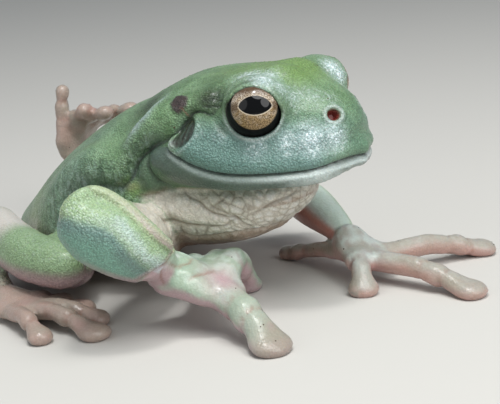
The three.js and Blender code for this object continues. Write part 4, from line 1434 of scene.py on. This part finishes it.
def eye_material(tones, pupil_width, pupil_height, iris_radius):
    """A frog's eye: a clear wet surface over a golden iris, with a lens-shaped level pupil."""
    material, tree = new_material("wet eye with golden iris")
    across, up = mask_of(tree, "across"), mask_of(tree, "up")
    flat = node(tree, "ShaderNodeCombineXYZ", [("X", across), ("Y", up)]).outputs[0]
    # The pupil is a lens: how far out of it a point lies is 1 on its edge.
    along = maths(tree, "SUBTRACT", across, PUPIL_SHIFT[0])
    above = maths(tree, "SUBTRACT", up, PUPIL_SHIFT[1])
    wide = maths(tree, "DIVIDE", along, pupil_width / 2)
    wide = maths(tree, "MULTIPLY", wide, wide)
    tall = maths(tree, "ABSOLUTE", maths(tree, "DIVIDE", above, pupil_height / 2))
    tall = maths(tree, "POWER", tall, 1.5)
    lens = maths(tree, "ADD", wide, tall)
    # Fine dark flecks 0.2 mm wide over gold that drifts to cream, and a painted shadow of the upper
    # lid.
    fleck = noise(tree, flat, 4.6, 6.0, Roughness=0.85)
    lower = maths(tree, "MULTIPLY_ADD", up, 0.09, noise(tree, flat, 1.1, 2.0))
    iris = mixed(tree, between(tree, lower, 0.25, 0.7), tones["iris_gold"], tones["iris_cream"])
    iris = mixed(tree, between(tree, fleck, 0.55, 0.43), iris, tones["iris_dark"])
    iris = mixed(tree, between(tree, up, 0.9, 2.2, 0.0, 0.9), iris, tones["iris_dark"])
    # A bright edge round the pupil, strongest below it, and a dark patch at each of its ends.
    edge, below = between(tree, lens, 1.22, 1.06), between(tree, above, 0.4, -0.6, 0.15, 0.7)
    colour = mixed(tree, maths(tree, "MULTIPLY", edge, below), iris, tones["iris_bright"])
    side = maths(tree, "ABSOLUTE", along)
    beyond = between(tree, side, pupil_width / 2, pupil_width / 2 + 0.3)
    ends = maths(tree, "MULTIPLY", beyond, between(tree, tall, 0.5, 0.15))
    colour = mixed(tree, maths(tree, "MULTIPLY", ends, 0.7), colour, tones["iris_dark"])
    colour = mixed(tree, between(tree, lens, 1.06, 0.98), colour, tones["pupil"])
    # The iris ends in a ragged line, and only the front of the ball shows it.
    links = [(0, flat), (1, (0.0, IRIS_DROP, 0.0))]
    low = node(tree, "ShaderNodeVectorMath", links, operation="ADD").outputs["Vector"]
    reach = node(tree, "ShaderNodeVectorMath", [(0, low)], operation="LENGTH")
    ragged = maths(tree, "MULTIPLY_ADD", fleck, 0.6, reach.outputs["Value"])
    outside = between(tree, ragged, iris_radius + 0.1, iris_radius + 0.22)
    colour = mixed(tree, outside, colour, tones["pupil"])
    surface(
        tree, mixed(tree, mask_of(tree, "front"), tones["pupil"], colour), Roughness=0.5, IOR=1.376,
        Specular_IOR_Level=0.0, Coat_Weight=1.0, Coat_Roughness=0.02, Coat_IOR=1.38,
    )
    return material


def floor_material(colour):
    """Matt pale paint: it shows the frog's shadow and nothing else."""
    material, tree = new_material("matt pale studio floor")
    surface(tree, (*colour, 1.0), Roughness=0.9)
    return material


# ---------------------------------------------------------------- what is scattered over the skin
def scatter_tree(name, material, even):
    """Small rounded grains set on the skin where a mask asks for them.

    With even, no two lie nearer than the spacing; otherwise they fall at random.
    """
    tree = bpy.data.node_groups.new(name, "GeometryNodeTree")
    tree.interface.new_socket("Skin", in_out="INPUT", socket_type="NodeSocketGeometry")
    tree.interface.new_socket("Grains", in_out="OUTPUT", socket_type="NodeSocketGeometry")
    for socket in ("Spacing", "Density", "Smallest", "Largest", "Flatness"):
        tree.interface.new_socket(socket, in_out="INPUT", socket_type="NodeSocketFloat")
    tree.interface.new_socket("Mask", in_out="INPUT", socket_type="NodeSocketString")
    tree.interface.new_socket("Seed", in_out="INPUT", socket_type="NodeSocketInt")
    given = node(tree, "NodeGroupInput").outputs
    links = [("Name", given["Mask"])]
    wanted = node(tree, "GeometryNodeInputNamedAttribute", links, data_type="FLOAT")
    spread = [("Mesh", given["Skin"]), ("Seed", given["Seed"])]
    if even:
        spread += [("Distance Min", given["Spacing"]), ("Density Max", given["Density"])]
        spread += [("Density Factor", wanted.outputs["Attribute"])]
    else:
        density = maths(tree, "MULTIPLY", wanted.outputs["Attribute"], given["Density"])
        spread += [("Density", density)]
    method = "POISSON" if even else "RANDOM"
    points = node(
        tree, "GeometryNodeDistributePointsOnFaces", spread, distribute_method=method
    ).outputs
    grain = node(tree, "GeometryNodeMeshIcoSphere", [("Radius", 1.0), ("Subdivisions", 1)])
    width = [(2, given["Smallest"]), (3, given["Largest"]), ("Seed", given["Seed"])]
    width = node(tree, "FunctionNodeRandomValue", width, data_type="FLOAT").outputs[1]
    height = maths(tree, "MULTIPLY", width, given["Flatness"])
    links = [("X", width), ("Y", width), ("Z", height)]
    size = node(tree, "ShaderNodeCombineXYZ", links).outputs[0]
    placed = node(
        tree, "GeometryNodeInstanceOnPoints",
        [("Points", points["Points"]), ("Instance", grain.outputs["Mesh"]),
         ("Rotation", points["Rotation"]), ("Scale", size)],
    ).outputs["Instances"]
    whole = node(tree, "GeometryNodeRealizeInstances", [("Geometry", placed)]).outputs["Geometry"]
    painted = node(tree, "GeometryNodeSetMaterial", [("Geometry", whole), ("Material", material)])
    node(tree, "NodeGroupOutput", [("Grains", painted.outputs["Geometry"])])
    return tree


def added(name, data):
    """A new object in the scene."""
    made = bpy.data.objects.new(name, data)
    bpy.context.scene.collection.objects.link(made)
    return made


def scattered(name, tree, sizes):
    """Runs a scatter tree over the finished skin and keeps the result as a plain mesh."""
    piece = added(name, bpy.data.objects["frog_skin"].data)
    modifier = piece.modifiers.new(name, "NODES")
    modifier.node_group = tree
    for socket in tree.interface.items_tree:
        if socket.in_out == "INPUT" and socket.name in sizes:
            modifier[socket.identifier] = sizes[socket.name]
    seen = bpy.context.evaluated_depsgraph_get()
    mesh = bpy.data.meshes.new_from_object(
        piece.evaluated_get(seen), preserve_all_data_layers=True, depsgraph=seen
    )
    piece.modifiers.clear()
    piece.data = mesh
    if not mesh.polygons:
        raise RuntimeError(f"{name}: the skin asks for no grains")
    mesh.shade_smooth()
    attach(piece, "root")
    return piece


# ---------------------------------------------------------------- making each piece
def finish_mesh(piece, points, masks, material):
    """Points in mm put back in the frame's metres, with their masks and their finish."""
    mesh = piece.data
    put(mesh, (points + HOME) / MM)
    for name, values in masks.items():
        attribute = mesh.attributes.new(name, "FLOAT", "POINT")
        attribute.data.foreach_set("value", np.asarray(values, np.float32))
    mesh.materials.append(material)
    mesh.shade_smooth()
    return piece


FAR = math.inf
# Boxes round the skin's fine forms, each with its limits along X, Y and Z in mm.
CLOSE_BOXES = (
    ((-31, FAR), (-20, 1.5), (11.5, FAR)),  # the head's right side and the throat
    ((-46, FAR), (-21, -11), (13, FAR)),  # neck and flank
    ((-26, FAR), (-FAR, -20), (9, FAR)),  # the right arm
)
THROAT_BOX = ((-22, FAR), (-17, FAR), (13, 24.5))
MOUTH_REACH = 1.2  # mm, how far above and below the mouth line the mesh is finest


def within(p, box):
    """Which points lie in a box."""
    low, high = np.array(box).T
    return np.all((p > low) & (p < high), axis=1)


def beside_mouth(p):
    """Along the mouth on both sides."""
    height = mouth_height(p[:, 0]) - p[:, 2]
    return (np.abs(height) < MOUTH_REACH) & (p[:, 0] > -20) & (np.abs(p[:, 1]) < 20)


def seen_closely(p):
    """The parts of the skin with fine forms: the head's right side, the throat and right arm."""
    return np.any([within(p, box) for box in CLOSE_BOXES], axis=0) | beside_mouth(p)


def seen_closest(p):
    """Along the mouth, round the right eye, ear and nostril, and on the throat."""
    away = np.linalg.norm(p - eye_centre(-1), axis=1)
    lid = (away > EYE_RADIUS - 1) & (away < EYE_RADIUS + 0.8) & (p[:, 1] < -10)
    pits = np.linalg.norm(p - np.array(NOSTRIL["middle"]), axis=1) < 2 * NOSTRIL["radius"]
    crease = to_line(p, smooth_line(NECK_CREASE))[0] < 1.4
    return (lid | pits | within(p, THROAT_BOX) | crease) & (p[:, 1] < 1.2) | beside_mouth(p)


def skin_mesh(block, step):
    """The flesh as a mesh: coarse at first, and split twice where it is seen most closely."""
    mesh = drawn(block, step)
    put(mesh, settle(block, evened(mesh, 2)))
    for wanted in (seen_closely, seen_closest):
        refine(mesh, wanted(places(mesh)))
        put(mesh, settle(block, evened(mesh, 1)))
    return mesh


FLOOR = 0.0  # mm; no part of the skin goes below it
SCULPTING = (  # in this order, as later steps need what earlier ones have painted
    sculpt_head, sculpt_scab, sculpt_throat, sculpt_flank, sculpt_forearm, sculpt_joints,
    paint_limbs, paint_body,
)


def make_skin(settings, tones):
    """The one skin over all the flesh."""
    block = shape_body()
    shape_limbs(block)
    block.values = blur(block.values, SOFTEN["all"] / VOXEL)
    mesh = skin_mesh(block, settings.mesh_step * MM)
    points = places(mesh)
    points[:, 2] = np.maximum(points[:, 2], FLOOR)
    put(mesh, points)
    skin = Skin(points, normals_of(mesh), block)
    for step in SCULPTING:
        step(skin)
    points = points + settings.relief * skin.lift[:, None] * skin.n
    points[:, 2] = np.maximum(points[:, 2], FLOOR)
    piece = added("frog_skin", mesh)
    finish_mesh(piece, points, skin.mask, skin_material(tones))
    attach(piece, "root")
    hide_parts(*FLESH)


GRANULES_PER_M2, CRUMBS_PER_M2 = 9e6, 3.2e5  # where the mask is 1
GRANULE_SPACING = 0.95  # as a share of a granule's width


def make_granules(settings, tones):
    """Low domes packed closely where the skin glints."""
    tree = scatter_tree("skin granules", granule_material(tones), even=True)
    radius = settings.granule_width / 2
    sizes = {
        "Spacing": settings.granule_width * GRANULE_SPACING, "Density": GRANULES_PER_M2,
        "Smallest": radius * 0.6, "Largest": radius, "Flatness": 0.45,
        "Mask": "granular", "Seed": 7,
    }
    piece = scattered("skin_granules", tree, sizes)


def make_soil(settings, tones):
    """A few crumbs on fingers and toes."""
    tree = scatter_tree("soil crumbs", soil_material(tones), even=False)
    sizes = {
        "Density": CRUMBS_PER_M2, "Smallest": settings.crumb_width * 0.2,
        "Largest": settings.crumb_width / 2, "Flatness": 0.6, "Mask": "soil", "Seed": 3,
    }
    piece = scattered("soil_crumbs", tree, sizes)


CORNEA_BULGE = 0.22  # mm
EYE_TURN = 29  # degrees forward
RING_START = 0.08  # mm outside the iris


def make_eye(side, settings, tones):
    """An eye ball with a cornea that bulges a little over its iris."""
    look, across, up = eye_axes(side, EYE_TURN, math.degrees(settings.iris_raised))
    bm = bmesh.new()
    bmesh.ops.create_uvsphere(bm, u_segments=72, v_segments=48, radius=1.0)
    mesh = bpy.data.meshes.new("frog_eye_right" if side < 0 else "frog_eye_left")
    bm.to_mesh(mesh)
    bm.free()
    x, y, z = places(mesh).T
    bulge = CORNEA_BULGE * ramp(z, 0.45, 0.95)
    outward = x[:, None] * across + y[:, None] * up + z[:, None] * look
    points = eye_centre(side) + outward * (EYE_RADIUS + bulge)[:, None]
    masks = {"across": x * EYE_RADIUS, "up": y * EYE_RADIUS, "front": (z > 0).astype(float)}
    piece = added(mesh.name, mesh)
    sizes = (settings.pupil_width, settings.pupil_height, settings.iris_radius)
    width, height, iris = (value * MM for value in sizes)
    finish_mesh(piece, points, masks, eye_material(tones, width, height, iris))
    piece.data.materials.append(eye_ring_material(tones))
    for face in piece.data.polygons:
        middle = np.mean([(x[v], y[v], z[v]) for v in face.vertices], axis=0)
        if middle[2] < 0 or math.hypot(middle[0], middle[1]) * EYE_RADIUS > iris + RING_START:
            face.material_index = 1
    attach(piece, "root")
    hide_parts("eye_right" if side < 0 else "eye_left")


# ---------------------------------------------------------------- stage
LAMPS = (  # name, place from the frog in m, size in m, share of the power
    ("soft_top", (0.16, -0.10, 0.50), 0.40, 0.85),
    ("small_high", (0.03, -0.08, 0.45), 0.07, 0.2),
    ("soft_front", (0.45, -0.10, 0.30), 0.35, 0.42),
    ("soft_left", (-0.25, -0.55, 0.30), 0.50, 0.2),
)


LAMP_AIM = (0, 0, 0.02)  # m from home, the point that all lamps face
FLOOR_SIZE = 6.0  # m
AIR_COLOUR = (0.85, 0.92, 1.0, 1)  # slightly blue, as under an open sky


def make_stage(settings):
    """The floor, the lamps and the light from all around."""
    bpy.ops.mesh.primitive_plane_add(size=FLOOR_SIZE)
    floor = bpy.context.object
    floor.name = "studio_floor"
    floor.data.materials.append(floor_material(tuple(settings.floor)))
    home = Vector(HOME) / MM
    for name, place, size, share in LAMPS:
        light = bpy.data.lights.new(name, "AREA")
        light.shape = "DISK"
        light.size = size
        light.energy = settings.power * share
        lamp = added(name, light)
        lamp.location = home + Vector(place)
        aim = Vector(LAMP_AIM) - Vector(place)
        lamp.rotation_euler = aim.to_track_quat("-Z", "Y").to_euler()
    world = bpy.data.worlds.new("pale studio air")
    bpy.context.scene.world = world
    world.use_nodes = True
    air = world.node_tree.nodes["Background"].inputs
    air["Color"].default_value = AIR_COLOUR
    air["Strength"].default_value = settings.air
    bpy.context.scene.view_settings.view_transform = "Standard"


# Place from the frog in mm, turns in degrees, lens and sensor width in mm.
CAMERA = {
    "place": (112.7, -186.7, 80.7), "turned": 34, "raised": 16, "rolled": 4,
    "lens": 90, "sensor": 36,
}


def make_camera():
    """The camera, a little above the frog and ahead of its right side."""
    a, e, r = (math.radians(CAMERA[k]) for k in ("turned", "raised", "rolled"))
    back = Vector((math.sin(a) * math.cos(e), -math.cos(a) * math.cos(e), math.sin(e)))
    level = Vector((math.cos(a), math.sin(a), 0))
    upright = back.cross(level)
    right = level * math.cos(r) - upright * math.sin(r)
    up = level * math.sin(r) + upright * math.cos(r)
    data = bpy.data.cameras.new("camera")
    data.lens = CAMERA["lens"]
    data.sensor_width = CAMERA["sensor"]
    data.clip_start = 0.01
    camera = added("camera", data)
    place = (Vector(HOME) + Vector(CAMERA["place"])) / MM
    camera.matrix_world = Matrix((
        (right.x, up.x, back.x, place.x),
        (right.y, up.y, back.y, place.y),
        (right.z, up.z, back.z, place.z),
        (0, 0, 0, 1),
    ))
    bpy.context.scene.camera = camera


# ---------------------------------------------------------------- settings
def colour_setting(name, description, hex_colour):
    """A colour that the user can change, in linear values."""
    return bpy.props.FloatVectorProperty(
        name=name, description=description, subtype="COLOR", size=3, min=0, max=1,
        default=linear(hex_colour)[:3],
    )


def length_setting(name, description, mm, low, high):
    """A length that the user can change, in metres."""
    return bpy.props.FloatProperty(
        name=name, description=description, default=mm / MM, min=low / MM, max=high / MM,
        unit="LENGTH", precision=5,
    )


class FrogSkinSettings(bpy.types.PropertyGroup):
    """Sizes of the frog's skin"""

    mesh_step: length_setting("Mesh step", "Width of the skin's largest faces", 0.8, 0.5, 1.5)
    relief: bpy.props.FloatProperty(
        name="Relief", description="How deep the creases and folds are, as a share",
        default=1.0, min=0, max=1.5,
    )
    granule_width: length_setting("Granule width", "Width of the glinting granules", 0.36, 0.2, 0.8)
    crumb_width: length_setting("Crumb width", "Width of the largest soil crumb", 0.42, 0.1, 1.0)


class FrogColours(bpy.types.PropertyGroup):
    """Colours of the frog's skin and eyes"""

    back_dark: colour_setting("Back, dark", "The darker green of the back", "5B7B53")
    back_light: colour_setting("Back, light", "The lighter green of the back", "7D9C74")
    cheek: colour_setting("Cheek", "The bluish green of cheeks and jaw", "658780")
    crown: colour_setting("Crown", "The yellowish green between the brows", "71904A")
    limb: colour_setting("Limb", "The pale yellowish green on top of the limbs", "9CB68B")
    teal: colour_setting("Forearm side", "The bluish green outside of the forearm", "79A592")
    hand: colour_setting("Hand", "The pale green of hands and feet", "9DB29C")
    cream: colour_setting("Throat", "The cream of throat and chest", "D2CCBE")
    blush: colour_setting("Blush", "The pinkish cream inside the limbs", "B79DA0")
    # Brownish pink, dark as painted shade beneath the throat and belly.
    raw: colour_setting("Belly", "The brownish pink beneath", "8A6244")
    lip: colour_setting("Lip", "The pale edge of the lower lip", "CBD6D2")
    drum: colour_setting("Ear drum", "The dark olive of the ear drum", "24231A")
    scab: colour_setting("Scab", "The dark healed scrape", "3C2C2F")
    # Painted highlights on the granules' tops and in small flecks.
    glint: colour_setting("Glint", "The silvery tops of the granules", "DDE9EA")
    # A silvery painted sheen on brows, snout, the neck's roll, flank, forearm and wrinkle tops.
    silver: colour_setting("Silver", "The silvery sheen on brows and snout", "BDCFD2")
    # Painted shade in dark olive green, behind the eye, over the neck and where the flank meets the
    # arm.
    temple: colour_setting("Temple", "The dark olive green behind the eye", "2F3F25")
    slate: colour_setting("Slate", "The greyish boundary on the forearm", "68807A")
    lime: colour_setting("Lime", "The bright green patch below the neck", "97B462")
    # Painted shade in olive on the throat under the jaw.
    olive: colour_setting("Olive", "The olive throat under the jaw", "8B8D68")
    scale: colour_setting("Scale", "The whitish tops of the throat's plates", "E6E4DC")
    flesh: colour_setting("Inner arm", "Blood that shows through the inner arm's skin", "E09C8E")
    # Painted shade on the far fingers; the greyish pink of the toes and the right hand's fourth
    # finger.
    tip: colour_setting("Fingertips", "The greyish pink of the far fingers and the toes", "94897A")
    edge: colour_setting("Arm fold", "The pinkish cream edge of the upper arm's skin", "B4B996")
    # A whitish bloom, laid on upward faces as painted light.
    milk: colour_setting("Milk", "The whitish bloom on hands and left arm", "CAD8D0")
    jaw: colour_setting("Jaw", "The greyish green of the lower jaw", "536459")
    line: colour_setting("Throat line", "The thin lines between the throat's plates", "6E5C45")
    joint: colour_setting("Joint", "The reddish creases of the digits", "8E5F4E")
    fold: colour_setting("Wrinkle", "The shade in the wrinkles", "4A6350")
    # Painted shade at the bottom of the deepest creases and in the mouth's slit.
    dark: colour_setting("Crease", "The bottom of the deepest creases", "252E27")
    nostril: colour_setting("Nostril", "The inside of the nostrils", "6E2A24")
    rim: colour_setting("Lid rim", "The dark edge of the lids", "12100E")
    iris_gold: colour_setting("Iris, gold", "The darker gold of the iris", "AA9066")
    iris_cream: colour_setting("Iris, cream", "The paler gold of the iris", "D6CBBB")
    iris_bright: colour_setting("Iris, bright", "The bright edge round the pupil", "EFE3CC")
    # Also the painted shadow of the upper lid at the iris's top.
    iris_dark: colour_setting("Iris, dark", "The flecks of the iris", "46301A")
    pupil: colour_setting("Pupil", "The pupil and the ring round the iris", "040405")
    soil: colour_setting("Soil", "The soil crumbs", "241B14")
    soil_pale: colour_setting("Soil, pale", "The paler soil crumbs", "5A4632")


class FrogEyeSettings(bpy.types.PropertyGroup):
    """Sizes of the frog's eyes"""

    pupil_width: length_setting("Pupil width", "Width of the level pupil", 5.35, 1.0, 8.0)
    pupil_height: length_setting("Pupil height", "Height of the level pupil", 3.05, 0.5, 6.0)
    iris_radius: length_setting("Iris radius", "Radius of the golden iris", 4.05, 2.0, 4.8)
    iris_raised: bpy.props.FloatProperty(
        name="Iris raised", description="How far up the iris looks",
        default=math.radians(24), unit="ROTATION",
    )


class FrogStageSettings(bpy.types.PropertyGroup):
    """Floor and light of the studio"""

    floor: colour_setting("Floor", "Colour of the floor", "C6C4BE")
    power: bpy.props.FloatProperty(
        name="Power", description="Power of the main lamp", default=2.55, min=0, unit="POWER"
    )
    air: bpy.props.FloatProperty(
        name="Air", description="Strength of the light from all around", default=0.33, min=0
    )


def tones_of(scene):
    """Every colour setting as the four numbers that a shader takes."""
    colours = scene.frog_colours
    return {name: (*getattr(colours, name), 1.0) for name in FrogColours.__annotations__}


# ---------------------------------------------------------------- operators and panel
class FROG_OT_skin(bpy.types.Operator):
    """Make the skin that covers all the flesh"""

    bl_idname = "frog.make_skin"
    bl_label = "Make the Skin"

    def execute(self, context):
        make_skin(context.scene.frog_skin, tones_of(context.scene))
        return {"FINISHED"}


class FROG_OT_grains(bpy.types.Operator):
    """Set granules and soil crumbs on the skin"""

    bl_idname = "frog.make_grains"
    bl_label = "Make Granules and Soil"

    def execute(self, context):
        if "frog_skin" not in bpy.data.objects:
            raise RuntimeError("the skin is made first")
        make_granules(context.scene.frog_skin, tones_of(context.scene))
        make_soil(context.scene.frog_skin, tones_of(context.scene))
        return {"FINISHED"}


class FROG_OT_eyes(bpy.types.Operator):
    """Make both eyes"""

    bl_idname = "frog.make_eyes"
    bl_label = "Make the Eyes"

    def execute(self, context):
        for side in (-1, 1):
            make_eye(side, context.scene.frog_eyes, tones_of(context.scene))
        return {"FINISHED"}


class FROG_OT_stage(bpy.types.Operator):
    """Make the floor, the lamps and the camera"""

    bl_idname = "frog.make_stage"
    bl_label = "Make the Stage"

    def execute(self, context):
        make_stage(context.scene.frog_stage)
        make_camera()
        return {"FINISHED"}


class FROG_PT_panel(bpy.types.Panel):
    """The frog's settings and the buttons that make its pieces"""

    bl_idname = "FROG_PT_panel"
    bl_label = "Tree Frog"
    bl_space_type = "VIEW_3D"
    bl_region_type = "UI"
    bl_category = "Tree Frog"

    def draw(self, context):
        groups = (
            (FrogSkinSettings, context.scene.frog_skin, ("frog.make_skin", "frog.make_grains")),
            (FrogEyeSettings, context.scene.frog_eyes, ("frog.make_eyes",)),
            (FrogColours, context.scene.frog_colours, ()),
            (FrogStageSettings, context.scene.frog_stage, ("frog.make_stage",)),
        )
        for kind, settings, buttons in groups:
            box = self.layout.box()
            for name in kind.__annotations__:
                box.prop(settings, name)
            for button in buttons:
                box.operator(button)


CLASSES = (
    FrogSkinSettings, FrogColours, FrogEyeSettings, FrogStageSettings,
    FROG_OT_skin, FROG_OT_grains, FROG_OT_eyes, FROG_OT_stage, FROG_PT_panel,
)
GROUPS = {
    "frog_skin": FrogSkinSettings,
    "frog_colours": FrogColours,
    "frog_eyes": FrogEyeSettings,
    "frog_stage": FrogStageSettings,
}


def register():
    """Adds the classes and each group of settings to Blender."""
    for kind in CLASSES:
        bpy.utils.register_class(kind)
    for name, kind in GROUPS.items():
        setattr(bpy.types.Scene, name, bpy.props.PointerProperty(type=kind))


def unregister():
    """Takes them away again."""
    for name in GROUPS:
        delattr(bpy.types.Scene, name)
    for kind in reversed(CLASSES):
        bpy.utils.unregister_class(kind)


def main():
    """Makes every piece and the stage."""
    register()
    bpy.ops.frog.make_skin()
    bpy.ops.frog.make_grains()
    bpy.ops.frog.make_eyes()
    bpy.ops.frog.make_stage()
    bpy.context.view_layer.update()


if __name__ == "__main__":
    main()
